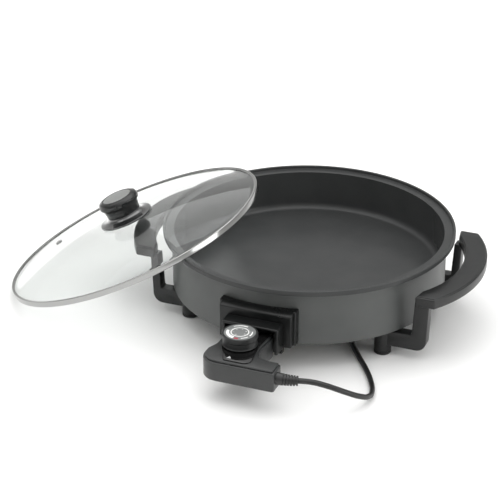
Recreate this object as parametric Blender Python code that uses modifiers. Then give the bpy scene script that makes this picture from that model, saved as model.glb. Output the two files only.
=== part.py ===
"""Round electric skillet with a loose glass lid and a plug-in thermostat.

Lengths are in metres and +Z is up. The table is at z = 0. Every piece hangs on the empty skillet_axis,
which stands on the pan's own axis, so the sizes below are measured from that axis: +X is the right
handle and -Y is the front, where the thermostat plugs in.
"""
import math

import bmesh
import bpy
from mathutils import Matrix, Vector

# General
GAP = 0.0003
OVERRUN = 0.0020
MERGE = 0.00001
PAN_STEPS = 64
PART_STEPS = 28
FOOT_STEPS = 20
SMALL_STEPS = 12
ARC_STEP = math.radians(22.5)

# Pan
RIM_RADIUS = 0.2000
RIM_TOP = 0.1220
LIP_WIDTH = 0.0035
LIP_ROUND = 0.0012
LIP_HEIGHT = 0.0070
LEDGE_DROP = 0.0045
LIP_FLARE = 0.0040
WALL_RADIUS = 0.1880
WALL = 0.0035
PAN_BOTTOM = 0.0380
PAN_CORNER = 0.0022
FLOOR_TOP = 0.0600
FLOOR = 0.0040
FLOOR_FILLET = 0.0100
BOSS_RADIUS = 0.0090
BOSS_HEIGHT = 0.0060

# Heating element and its pins
ELEMENT_RADIUS = 0.0040
ELEMENT_RING_RADIUS = 0.1050
ELEMENT_GAP_ANGLE = math.radians(19.0)
ELEMENT_STEP_ANGLE = math.radians(12.0)
ELEMENT_BEND = 0.0170
PIN_MARGIN = 0.0039
PIN_RADIUS = 0.0025
PIN_START = 0.1725
PIN_END = 0.2240
PIN_TIP = 0.0010

# Probe and its guide
GUIDE_RADIUS = 0.0052
GUIDE_BORE = 0.0038
GUIDE_START = 0.1180
GUIDE_END = 0.1875
PROBE_TIP = 0.1260
PROBE_TIP_ROUND = 0.0020

# Socket on the front wall
PLUG_X = -0.0010
FLANGE_WIDTH = 0.1060
FLANGE_FRONT = 0.1925
FLANGE_TOP = 0.0912
HOOD_WIDTH = 0.1000
HOOD_FRONT = 0.2010
HOOD_FRONT_TOP = 0.0868
HOOD_BOTTOM = 0.0415
SOCKET_BACK = 0.1700
SHROUD_WIDTH = 0.0774
SHROUD_FRONT = 0.2205
SHROUD_TOP = 0.0762
SHROUD_BOTTOM = 0.0390
SHROUD_WALL = 0.0042
SHROUD_ROOF = 0.0030
SOCKET_WALL = 0.0050
SOCKET_TONGUE_BOTTOM = 0.0270
SOCKET_BEVEL = 0.0018
NOTCH_MARGIN = 0.0075
SOCKET_SCREW_SPACING = 0.0760
SOCKET_SCREW_Z = 0.0470
SOCKET_SCREW_END = 0.1905

# Screws
SCREW_SHAFT = 0.0016
SCREW_HEAD = 0.0034
SCREW_HEAD_HEIGHT = 0.0020

# Handles: two equal mouldings, one turned half round, so a broad post faces a slim one
GRIP_OUTER_RADIUS = 0.1820
GRIP_INNER_RADIUS = 0.1540
GRIP_REACH = 0.0460
GRIP_WIDTH = 0.0305
GRIP_END_Y = 0.1070
GRIP_END_INNER = 0.1850
GRIP_END_BLOCK = 0.0200
GRIP_BOTTOM = 0.0840
GRIP_TOP = 0.0985
GRIP_BEVEL = 0.0025
GRIP_ARC_POINTS = 15
POST_INNER = 0.1830
BROAD_POST = 0.0195
SLIM_POST = 0.0110
POST_LEAN = 0.0030
POST_CORNER = 0.0140
POST_INNER_CORNER = 0.0030
LEG_FRONT_Y = 0.1000
LEG_THICKNESS = 0.0160
BAR_BOTTOM = 0.0145
BAR_TOP = 0.0365
FOOT_X = 0.1390
FOOT_Y = 0.0925
FOOT_RADIUS = 0.0115
TENON_SHARE = 0.55
TENON_DEPTH = 0.0080
TENON_HEIGHT = 0.0070
LEG_SCREW_SHAFT = 0.0020
LEG_SCREW_HEAD = 0.0044
LEG_SCREW_SEAT = 0.0280
LEG_SCREW_BITE = 0.0055
COUNTERBORE = 0.0050

# Foot pads
PAD_HEIGHT = 0.0045
PAD_ROUND = 0.0022
PAD_STUB_HEIGHT = 0.0075

# Lid
LID_PLAY = 0.0085
LID_TILT = math.radians(23.6)
LID_AZIMUTH = math.radians(188.8)
BAND_HEIGHT = 0.0084
BAND_WALL = 0.0020
BAND_LIP = 0.0040
BAND_SHEET = 0.0009
BAND_ROUND = 0.0010
GLASS = 0.0036
GLASS_SEAT = 0.0030
GLASS_RISE = 0.0258
GLASS_RINGS = 5
VENT_X = 0.1235
VENT_Y = -0.0200
VENT_NECK = 0.0036
VENT_FLANGE = 0.0052
VENT_BORE = 0.0022
VENT_SHEET = 0.0012

# Lid knob
KNOB_BASE_RADIUS = 0.0380
KNOB_BASE_EDGE = 0.0026
KNOB_BASE_HEIGHT = 0.0085
KNOB_RADIUS = 0.0292
KNOB_FOOT_RADIUS = 0.0238
KNOB_HEIGHT = 0.0246
INLAY_RADIUS = 0.0204
INLAY_HEIGHT = 0.0009
KNOB_SCREW_BITE = 0.0120
KNOB_SCREW_HEAD = 0.0060
GLASS_HOLE = 0.0045
WASHER_RADIUS = 0.0120
WASHER_HEIGHT = 0.0020

# Controller
TUB_BOTTOM = 0.0328
TUB_TOP = 0.0592
COVER_TOP = 0.0623
COVER_INSET = 0.0026
TUB_WALL = 0.0034
TUB_EDGE = 0.0016
COVER_EDGE = 0.0007
NECK_REAR = 0.2065
NECK_LEFT_PLAY = 0.0018
NECK_RIGHT_PLAY = 0.0040
NECK_TAPER = 0.0029
NECK_SHOULDER_Y = 0.2190
NECK_WAIST_Y = 0.2420
NECK_CORNER = 0.0080
BAR_REAR_Y = 0.2710
BAR_FRONT_Y = 0.2993
BAR_RIGHT = 0.0625
BAR_LEFT = 0.0400
TIP_Y = 0.2690
FLANK_Y = 0.2540
EDGE_CORNER = 0.0036
NECK_FILLET = 0.0180
NOSE_CORNER = 0.0230
TIP_CORNER = 0.0050
FLANK_FILLET = 0.0200
CONTROLLER_BOSS = 0.0038
CONTROLLER_SCREW_X = (-0.0230, 0.0330)
CONTROLLER_SCREW_Y = (-0.2780, -0.2830)
CONTROLLER_SCREW_BITE = 0.0100
CONTROLLER_SCREW_HEAD_HEIGHT = 0.0014
SLEEVE_RADIUS = 0.0042
SLEEVE_BORE = 0.0028
SLEEVE_LENGTH = 0.0215
SWITCH_SIZE = (0.0280, 0.0300, 0.0175)
TERMINAL_SIZE = (0.0110, 0.0140, 0.0110)
TERMINAL_X = 0.0490
TERMINAL_Y = -0.2855

# Dial
DIAL_X = -0.0020
DIAL_Y = -0.2500
DIAL_RADIUS = 0.0233
DIAL_HEIGHT = 0.0162
DIAL_ROUND = 0.0012
DIAL_CAP_HEIGHT = 0.0066
DIAL_SKIRT_RADIUS = 0.0222
DIAL_FACE_RADIUS = 0.0205
DIAL_FACE_HEIGHT = 0.0005
DIAL_BORE_DEPTH = 0.0100
SHAFT_RADIUS = 0.0030
PLATE_HEIGHT = 0.0012
COLLAR_HEIGHT = 0.0012
COLLAR_RADIUS = 0.0205
PLATE_INSET = 0.0040
PLATE_REAR_CORNER = 0.0050
PLATE_SIDE_Y = 0.2450
PLATE_FRONT_Y = 0.2930
PLATE_FRONT_LEFT = 0.0080
PLATE_FRONT_RIGHT = 0.0285
PLATE_CORNER = 0.0100
PLATE_SMALL_CORNER = 0.0040

# Cord, its strain relief and its plug
CORD_RADIUS = 0.0036
CORD_Z = 0.0475
CORD_Y = -0.2867
CORD_STEP = 0.0180
RELIEF_LENGTH = 0.0265
RELIEF_BEND = 0.0038
RELIEF_COLLAR = 0.0085
RELIEF_COLLAR_LENGTH = 0.0055
RELIEF_BODY = 0.0064
RELIEF_GROOVE = 0.0050
RELIEF_NECK = 0.0050
RELIEF_FLANGE = 0.0072
RELIEF_FLANGE_LENGTH = 0.0022
RELIEF_RIBS = 4
RELIEF_STEP = 0.0001
CORD_REST_Z = 0.0037
COIL_RADIUS = 0.0448
CORD_ROUTE = [
    (0.1060, -0.2785, 0.0470),
    (0.1250, -0.2725, 0.0420),
    (0.1440, -0.2620, 0.0320),
    (0.1580, -0.2460, 0.0200),
    (0.1640, -0.2250, 0.0095),
    (0.1610, -0.2020, 0.0042),
    (0.1500, -0.1760, CORD_REST_Z),
    (0.1340, -0.1490, CORD_REST_Z),
    (0.1160, -0.1230, CORD_REST_Z),
    (0.0980, -0.0950, CORD_REST_Z),
    (0.0800, -0.0620, CORD_REST_Z),
    (0.0620, -0.0160, CORD_REST_Z),
    (0.0500, 0.0400, CORD_REST_Z),
    (0.0440, 0.1000, CORD_REST_Z),
    (0.0440, 0.1600, CORD_REST_Z),
    (COIL_RADIUS, 0.2100, CORD_REST_Z),
    (COIL_RADIUS, 0.2400, CORD_REST_Z),
]
COIL_Y = 0.2620
COIL_PITCH = 0.0090
COIL_LIFT = 0.0080
COIL_TURNS = 1
COIL_POINTS = 24
PATH_SAMPLES = 24
PLUG_Y = 0.2210
TAIL_ROUTE = [
    (-0.0480, 0.2380, 0.0105),
    (-0.0560, 0.2280, 0.0075),
    (-0.0700, 0.2220, 0.0045),
    (-0.0900, PLUG_Y, 0.0066),
    (-0.1030, PLUG_Y, 0.0120),
    (-0.1130, PLUG_Y, 0.0160),
]
PLUG_END_X = -0.1290
PLUG_Z = 0.0170
PLUG_RADIUS = 0.0165
PLUG_LENGTH = 0.0400
PLUG_NOSE = 0.0058
PLUG_PIN_RADIUS = 0.0024
PLUG_PIN_LENGTH = 0.0190
PLUG_PIN_SPACING = 0.0190
PLUG_PIN_SEAT = 0.0060

# Right handle first, and the front end of each: the order of the four corners
HANDLE_CORNERS = [(1, -1), (1, 1), (-1, -1), (-1, 1)]
SIDES = [(-1, "left"), (1, "right")]

# Outlines as shares of the sizes of the piece that carries them
BASE_SHARES = [(0.05, 0.35), (0.22, 0.66), (0.55, 0.88), (0.92, 1.0)]
KNOB_SHARES = [(0.78, 1.0), (0.92, 0.93), (0.985, 0.81), (1.0, 0.69), (0.975, 0.58), (0.90, 0.47),
               (0.85, 0.30), (0.82, 0.12)]
PLUG_SHARES = [(0.90, 1.0), (1.0, 0.95), (1.0, 0.62), (0.94, 0.50), (0.78, 0.34), (0.52, 0.18)]
RIB_SHARES = (0.2, 0.4, 0.9)

# Worked out from the sizes above
FLOOR_UNDER = FLOOR_TOP - FLOOR
WALL_INNER = WALL_RADIUS - WALL
GRIP_APEX = RIM_RADIUS + GRIP_REACH
MOUTH_WIDTH = SHROUD_WIDTH - 2 * SHROUD_WALL
NECK_LEFT = MOUTH_WIDTH / 2 - NECK_LEFT_PLAY
NECK_RIGHT = MOUTH_WIDTH / 2 - NECK_RIGHT_PLAY
NECK_WAIST = PLUG_X + NECK_RIGHT - NECK_TAPER
PIN_SPACING = 2 * (NECK_RIGHT - TUB_WALL - SLEEVE_RADIUS - PIN_MARGIN)
NOTCH_WIDTH = PIN_SPACING + 2 * NOTCH_MARGIN
PIN_Z = FLOOR_UNDER - GAP - ELEMENT_RADIUS
PROBE_Z = FLOOR_UNDER - GAP - GUIDE_RADIUS
PROBE_RADIUS = GUIDE_BORE - GAP
BOSS_UNDER = FLOOR_UNDER - BOSS_HEIGHT
LEG_MID_Y = LEG_FRONT_Y - LEG_THICKNESS / 2
POST_TOP = GRIP_BOTTOM - GAP
TUB_FLOOR = TUB_BOTTOM + TUB_WALL
PLATE_TOP = COVER_TOP + GAP + PLATE_HEIGHT
DIAL_BOTTOM = PLATE_TOP + COLLAR_HEIGHT + GAP
SWITCH_Z = TUB_FLOOR + GAP
SWITCH_Y = DIAL_Y + SWITCH_SIZE[1] / 2
LID_RADIUS = RIM_RADIUS - LIP_WIDTH - LID_PLAY
BAND_INNER = LID_RADIUS - BAND_LIP
GLASS_EDGE = LID_RADIUS - BAND_WALL - GAP
GLASS_DOME = BAND_INNER - BAND_ROUND
GLASS_EDGE_TOP = GLASS_SEAT + GLASS
GLASS_SPHERE = (GLASS_DOME ** 2 + GLASS_RISE ** 2) / (2 * GLASS_RISE)
GLASS_TOP = GLASS_EDGE_TOP + GLASS_RISE
LID_FOOT_RADIUS = LID_RADIUS - BAND_ROUND
LID_CONTACT_RADIUS = BAND_INNER + BAND_ROUND
LID_Z = LID_FOOT_RADIUS * math.sin(LID_TILT) + GAP
LID_CROSSING = (RIM_TOP + GAP - LID_Z) / (LID_CONTACT_RADIUS * math.sin(LID_TILT))
LID_CROSSING_SIDE = LID_CONTACT_RADIUS * math.sqrt(1 - LID_CROSSING ** 2)
LID_DISTANCE = (
    LID_CONTACT_RADIUS * LID_CROSSING * math.cos(LID_TILT)
    + math.sqrt((RIM_RADIUS + GAP) ** 2 - LID_CROSSING_SIDE ** 2)
)
LID_X = LID_DISTANCE * math.cos(LID_AZIMUTH)
LID_Y = LID_DISTANCE * math.sin(LID_AZIMUTH)
LID_REACH = LID_RADIUS * math.sqrt(1 - (math.sin(LID_TILT) * math.cos(LID_AZIMUTH)) ** 2)
PAN_AXIS_X = -(LID_X - LID_REACH + GRIP_APEX) / 2
PAN_AXIS_Y = (BAR_FRONT_Y - RIM_RADIUS) / 2
SIDEWAYS = (math.pi / 2, 0, 0)
ACROSS = (math.pi / 2, 0, math.pi / 2)


def new_collection(name):
    collection = bpy.data.collections.new(name)
    bpy.context.scene.collection.children.link(collection)
    return collection


def linear(value):
    return value / 12.92 if value <= 0.04045 else ((value + 0.055) / 1.055) ** 2.4


def new_material(name, colour, roughness, metallic=0.0):
    """A Principled material whose colour is given as an sRGB hex number."""
    channels = [(colour >> shift & 255) / 255 for shift in (16, 8, 0)]
    rgba = [linear(channel) for channel in channels] + [1]
    material = bpy.data.materials.new(name)
    material.use_nodes = True
    shader = material.node_tree.nodes["Principled BSDF"]
    shader.inputs["Base Color"].default_value = rgba
    shader.inputs["Roughness"].default_value = roughness
    shader.inputs["Metallic"].default_value = metallic
    material.diffuse_color = rgba
    return material


def new_empty(name, parent=None, location=(0, 0, 0), rotation=(0, 0, 0)):
    empty = bpy.data.objects.new(name, None)
    parts.objects.link(empty)
    empty.parent = parent
    empty.location = location
    empty.rotation_euler = rotation
    return empty


def place(name, data, material, parent, location=(0, 0, 0), rotation=(0, 0, 0)):
    obj = bpy.data.objects.new(name, data)
    parts.objects.link(obj)
    obj.parent = parent
    obj.location = location
    obj.rotation_euler = rotation
    obj.data.materials.append(material)
    return obj


def as_tool(obj):
    """Turns an object into a helper for a Boolean, which is no part of the skillet."""
    parts.objects.unlink(obj)
    cutters.objects.link(obj)
    obj.hide_render = True
    obj.display_type = "WIRE"
    return obj


def boolean(obj, tool, operation):
    as_tool(tool)
    modifier = obj.modifiers.new(tool.name, "BOOLEAN")
    modifier.operation = operation
    modifier.solver = "EXACT"
    modifier.object = tool
    return obj


def cut(obj, tool):
    return boolean(obj, tool, "DIFFERENCE")


def join(obj, tool):
    return boolean(obj, tool, "UNION")


def bevel(obj, width, segments=2, angle=math.radians(40)):
    modifier = obj.modifiers.new("edges", "BEVEL")
    modifier.width = width
    modifier.segments = segments
    modifier.limit_method = "ANGLE"
    modifier.angle_limit = angle
    return obj


def lathe(name, profile, material, parent, location=(0, 0, 0), rotation=(0, 0, 0),
          steps=PART_STEPS, ring=False):
    """Turns a profile of (radius, height) points, which runs down its outer side, about local Z."""
    mesh = bpy.data.meshes.new(name)
    edges = [(i, i + 1) for i in range(len(profile) - 1)]
    if ring:
        edges.append((len(profile) - 1, 0))
    mesh.from_pydata([(radius, 0, height) for radius, height in profile], edges, [])
    obj = place(name, mesh, material, parent, location, rotation)
    screw = obj.modifiers.new("turn", "SCREW")
    screw.steps = steps
    screw.render_steps = steps
    screw.use_merge_vertices = True
    screw.merge_threshold = MERGE
    return obj


def disc(name, radius, low, high, material, parent, location=(0, 0, 0), rotation=(0, 0, 0),
         steps=SMALL_STEPS):
    profile = [(0, high), (radius, high), (radius, low), (0, low)]
    return lathe(name, profile, material, parent, location, rotation, steps)


def pipe(name, outer, inner, low, high, material, parent, location=(0, 0, 0), rotation=(0, 0, 0),
         steps=SMALL_STEPS):
    profile = [(inner, high), (outer, high), (outer, low), (inner, low)]
    return lathe(name, profile, material, parent, location, rotation, steps, ring=True)


def block(name, low, high, material, parent):
    """A box between two corners."""
    centre = [(a + b) / 2 for a, b in zip(low, high)]
    size = [b - a for a, b in zip(low, high)]
    mesh = bpy.data.meshes.new(name)
    shape = bmesh.new()
    bmesh.ops.create_cube(shape, size=1, matrix=Matrix.Diagonal((*size, 1)))
    shape.to_mesh(mesh)
    shape.free()
    return place(name, mesh, material, parent, centre)


def arc(centre_x, centre_y, radius, start, end, count):
    """Points on an arc, both ends included."""
    angles = [start + (end - start) * i / (count - 1) for i in range(count)]
    return [(centre_x + radius * math.cos(a), centre_y + radius * math.sin(a)) for a in angles]


def rounded(corners):
    """An outline through (x, y, radius) corners, each turned into an arc of that radius."""
    outline = []
    for i, (x, y, radius) in enumerate(corners):
        corner = Vector((x, y))
        before = Vector(corners[i - 1][:2]) - corner
        after = Vector(corners[(i + 1) % len(corners)][:2]) - corner
        if radius == 0:
            outline.append((x, y))
            continue
        half = before.angle(after) / 2
        to_centre = (before.normalized() + after.normalized()).normalized() * radius / math.sin(half)
        centre = corner + to_centre
        start = corner + before.normalized() * radius / math.tan(half) - centre
        end = corner + after.normalized() * radius / math.tan(half) - centre
        turn = start.angle_signed(end)
        count = max(2, math.ceil(abs(turn) / ARC_STEP) + 1)
        for step in range(count):
            point = centre + Matrix.Rotation(-turn * step / (count - 1), 2) @ start
            outline.append(tuple(point))
    return outline


def slab(name, outline, low, high, material, parent, rotation=(0, 0, 0)):
    """A flat outline given thickness from low to high along its own normal, as a mesh."""
    curve = bpy.data.curves.new(name, "CURVE")
    curve.dimensions = "2D"
    curve.fill_mode = "BOTH"
    curve.extrude = (high - low) / 2
    spline = curve.splines.new("POLY")
    spline.points.add(len(outline) - 1)
    for point, (x, y) in zip(spline.points, outline):
        point.co = (x, y, 0, 1)
    spline.use_cyclic_u = True
    holder = bpy.data.objects.new(name, curve)
    parts.objects.link(holder)
    bpy.context.view_layer.update()
    mesh = bpy.data.meshes.new_from_object(holder.evaluated_get(bpy.context.evaluated_depsgraph_get()))
    bpy.data.objects.remove(holder)
    shape = bmesh.new()
    shape.from_mesh(mesh)
    bmesh.ops.translate(shape, verts=shape.verts, vec=(0, 0, (low + high) / 2))
    bmesh.ops.remove_doubles(shape, verts=shape.verts, dist=MERGE)
    bmesh.ops.dissolve_limit(shape, angle_limit=math.radians(1), verts=shape.verts, edges=shape.edges)
    bmesh.ops.recalc_face_normals(shape, faces=shape.faces)
    shape.to_mesh(mesh)
    shape.free()
    mesh.name = name
    mesh.materials.clear()
    return place(name, mesh, material, parent, (0, 0, 0), rotation)


def smooth_path(route, step):
    """Evenly spaced points on a smooth curve through the route, whose first and last legs stay straight."""
    route = [Vector(point) for point in route]
    fine = []
    for a, b, c, d in zip(route, route[1:], route[2:], route[3:]):
        for i in range(PATH_SAMPLES):
            t = i / PATH_SAMPLES
            fine.append(0.5 * (2 * b + (c - a) * t + (2 * a - 5 * b + 4 * c - d) * t ** 2
                               + (3 * b - a - 3 * c + d) * t ** 3))
    fine.append(route[-2])
    lengths = [0]
    for a, b in zip(fine, fine[1:]):
        lengths.append(lengths[-1] + (b - a).length)
    count = max(2, round(lengths[-1] / step) + 1)
    path = []
    j = 0
    for i in range(count):
        target = lengths[-1] * i / (count - 1)
        while j < len(fine) - 2 and lengths[j + 1] < target:
            j += 1
        share = (target - lengths[j]) / (lengths[j + 1] - lengths[j])
        path.append(fine[j].lerp(fine[j + 1], share))
    legs = (route[1] - route[0]).length + (route[-1] - route[-2]).length
    return [route[0]] + path + [route[-1]], lengths[-1] + legs


def tube(name, points, radii, resolution, material, parent):
    """A round tube along points; radii is one radius or one for each point."""
    curve = bpy.data.curves.new(name, "CURVE")
    curve.dimensions = "3D"
    curve.bevel_resolution = resolution
    curve.use_fill_caps = True
    spline = curve.splines.new("POLY")
    spline.points.add(len(points) - 1)
    if not isinstance(radii, list):
        radii = [radii] * len(points)
    curve.bevel_depth = max(radii)
    for point, place_at, radius in zip(spline.points, points, radii):
        point.co = (*place_at, 1)
        point.radius = radius / curve.bevel_depth
    return place(name, curve, material, parent)


def screw_piece(name, head, head_height, shaft, length, material, parent, location, rotation=(0, 0, 0)):
    """A screw whose shaft points along local +Z from the underside of its head, at local zero."""
    profile = [(0, length), (shaft, length - shaft), (shaft, 0), (head, 0),
               (head, -head_height / 2), (head - head_height / 2, -head_height), (0, -head_height)]
    return lathe(name, profile, material, parent, location, rotation, SMALL_STEPS)


def build_pan(parent):
    lip_inner = RIM_RADIUS - LIP_WIDTH
    ledge = RIM_TOP - LEDGE_DROP
    lip_under = RIM_TOP - LIP_HEIGHT
    profile = [(0, FLOOR_TOP)]
    profile += arc(WALL_INNER - FLOOR_FILLET, FLOOR_TOP + FLOOR_FILLET, FLOOR_FILLET, -math.pi / 2, 0, 4)
    profile += [(WALL_INNER, ledge), (lip_inner, ledge), (lip_inner, RIM_TOP - LIP_ROUND)]
    profile += [(lip_inner + LIP_ROUND, RIM_TOP)]
    profile += arc(RIM_RADIUS - LIP_ROUND, RIM_TOP - LIP_ROUND, LIP_ROUND, math.pi / 2, 0, 3)
    profile += [(RIM_RADIUS, lip_under), (WALL_RADIUS + LIP_FLARE, lip_under)]
    profile += [(WALL_RADIUS, lip_under - LIP_FLARE)]
    profile += arc(WALL_RADIUS - PAN_CORNER, PAN_BOTTOM + PAN_CORNER, PAN_CORNER, 0, -math.pi / 2, 3)
    profile += [(WALL_INNER, PAN_BOTTOM), (WALL_INNER, FLOOR_UNDER), (0, FLOOR_UNDER)]
    pan = lathe("pan", profile, pan_coating, parent, steps=PAN_STEPS)
    for side, end in HANDLE_CORNERS:
        foot = (side * FOOT_X, end * FOOT_Y, 0)
        tag = f"{side:+d}{end:+d}"
        join(pan, disc("boss" + tag, BOSS_RADIUS, BOSS_UNDER, FLOOR_UNDER + FLOOR / 2, pan_coating,
                       parent, foot))
    for side, end in HANDLE_CORNERS:
        foot = (side * FOOT_X, end * FOOT_Y, 0)
        tag = f"{side:+d}{end:+d}"
        cut(pan, disc("boss_hole" + tag, LEG_SCREW_SHAFT + GAP, BOSS_UNDER - OVERRUN,
                      BOSS_UNDER + LEG_SCREW_BITE + GAP, pan_coating, parent, foot))
    notch_low = (PLUG_X - NOTCH_WIDTH / 2, -WALL_RADIUS - OVERRUN, PAN_BOTTOM - OVERRUN)
    notch_high = (PLUG_X + NOTCH_WIDTH / 2, -WALL_INNER + FLOOR_FILLET, FLOOR_UNDER - GAP)
    cut(pan, block("pan_notch", notch_low, notch_high, pan_coating, parent))
    for side in (-1, 1):
        at = (PLUG_X + side * SOCKET_SCREW_SPACING / 2, 0, SOCKET_SCREW_Z)
        cut(pan, disc(f"pan_screw_hole{side:+d}", SCREW_SHAFT + GAP, SOCKET_BACK, WALL_RADIUS + OVERRUN,
                      pan_coating, parent, at, SIDEWAYS))


def build_heater(parent):
    half = PIN_SPACING / 2
    first = -math.pi / 2 + ELEMENT_GAP_ANGLE
    last = 3 * math.pi / 2 - ELEMENT_GAP_ANGLE
    count = round((last - first) / ELEMENT_STEP_ANGLE) + 1
    ring = [(PLUG_X + x, y) for x, y in arc(0, 0, ELEMENT_RING_RADIUS, first, last, count)]
    bend = -ELEMENT_RING_RADIUS - ELEMENT_BEND
    lead = [(PLUG_X + half, -PIN_START + GAP), (PLUG_X + half, bend - ELEMENT_BEND), (PLUG_X + half, bend)]
    lead_end = [(2 * PLUG_X - x, y) for x, y in reversed(lead)]
    points = [(x, y, PIN_Z) for x, y in lead + ring + lead_end]
    tube("heating_element", points, ELEMENT_RADIUS, 2, element_steel, parent)
    for side, label in SIDES:
        profile = [(0, PIN_END), (PIN_RADIUS - PIN_TIP, PIN_END), (PIN_RADIUS, PIN_END - PIN_TIP),
                   (PIN_RADIUS, PIN_START), (0, PIN_START)]
        lathe("terminal_pin_" + label, profile, pin_nickel, parent, (PLUG_X + side * half, 0, PIN_Z),
              SIDEWAYS, SMALL_STEPS)
    pipe("probe_guide", GUIDE_RADIUS, GUIDE_BORE, GUIDE_START, GUIDE_END, guide_brass, parent,
         (PLUG_X, 0, PROBE_Z), SIDEWAYS)


def build_socket(parent):
    def centred(name, width, back, front, low, high):
        return block(name, (PLUG_X - width / 2, -front, low), (PLUG_X + width / 2, -back, high),
                     socket_black, parent)

    half = HOOD_WIDTH / 2
    side_view = [(-SOCKET_BACK, HOOD_BOTTOM), (-HOOD_FRONT, HOOD_BOTTOM), (-HOOD_FRONT, HOOD_FRONT_TOP),
                 (-FLANGE_FRONT, FLANGE_TOP), (-SOCKET_BACK, FLANGE_TOP)]
    housing = slab("socket_housing", side_view, PLUG_X - half, PLUG_X + half, socket_black, parent, ACROSS)
    bevel(housing, SOCKET_BEVEL)
    flange = centred("socket_flange", FLANGE_WIDTH, SOCKET_BACK, FLANGE_FRONT, HOOD_BOTTOM, FLANGE_TOP)
    join(housing, bevel(flange, SOCKET_BEVEL))
    shroud = centred("socket_shroud", SHROUD_WIDTH, SOCKET_BACK, SHROUD_FRONT, SHROUD_BOTTOM, SHROUD_TOP)
    join(housing, bevel(shroud, SOCKET_BEVEL))
    tongue = centred("socket_tongue", MOUTH_WIDTH, SOCKET_BACK, WALL_RADIUS + SOCKET_WALL,
                     SOCKET_TONGUE_BOTTOM, PIN_Z)
    join(housing, tongue)
    cut(housing, disc("pan_clearance", (WALL_RADIUS + GAP) / math.cos(math.pi / PAN_STEPS),
                      SOCKET_TONGUE_BOTTOM - OVERRUN, FLANGE_TOP + OVERRUN, socket_black, parent,
                      steps=PAN_STEPS))
    cut(housing, centred("socket_mouth", MOUTH_WIDTH, WALL_RADIUS + SOCKET_WALL, SHROUD_FRONT + OVERRUN,
                         SHROUD_BOTTOM - OVERRUN, SHROUD_TOP - SHROUD_ROOF))
    for side in (-1, 1):
        at = (PLUG_X + side * PIN_SPACING / 2, 0, PIN_Z)
        cut(housing, disc(f"pin_hole{side:+d}", PIN_RADIUS + GAP, SOCKET_BACK, HOOD_FRONT, socket_black,
                          parent, at, SIDEWAYS))
        at = (PLUG_X + side * SOCKET_SCREW_SPACING / 2, 0, SOCKET_SCREW_Z)
        cut(housing, disc(f"screw_hole{side:+d}", SCREW_SHAFT + GAP, SOCKET_BACK, SOCKET_SCREW_END + GAP,
                          socket_black, parent, at, SIDEWAYS))
    cut(housing, disc("probe_hole", GUIDE_BORE + GAP, SOCKET_BACK, HOOD_FRONT, socket_black, parent,
                      (PLUG_X, 0, PROBE_Z), SIDEWAYS))
    for side, label in SIDES:
        x = PLUG_X + side * SOCKET_SCREW_SPACING / 2
        widest = abs(x) + SCREW_HEAD
        seat = math.sqrt(WALL_INNER ** 2 - widest ** 2) - 2 * GAP
        screw_piece("socket_screw_" + label, SCREW_HEAD, SCREW_HEAD_HEIGHT, SCREW_SHAFT,
                    SOCKET_SCREW_END - seat, screw_steel, parent, (x, -seat, SOCKET_SCREW_Z), SIDEWAYS)


def grip_outline():
    """Right grip in plan: two arcs, closed by a block at each end."""
    outer_x = GRIP_APEX - GRIP_OUTER_RADIUS
    inner_x = GRIP_APEX - GRIP_WIDTH - GRIP_INNER_RADIUS
    outer_end = math.asin(GRIP_END_Y / GRIP_OUTER_RADIUS)
    inner_end = math.asin((GRIP_END_Y - GRIP_END_BLOCK) / GRIP_INNER_RADIUS)
    outer = arc(outer_x, 0, GRIP_OUTER_RADIUS, -outer_end, outer_end, GRIP_ARC_POINTS)
    inner = arc(inner_x, 0, GRIP_INNER_RADIUS, inner_end, -inner_end, GRIP_ARC_POINTS - 4)
    return outer + [(GRIP_END_INNER, GRIP_END_Y)] + inner + [(GRIP_END_INNER, -GRIP_END_Y)]


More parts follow.
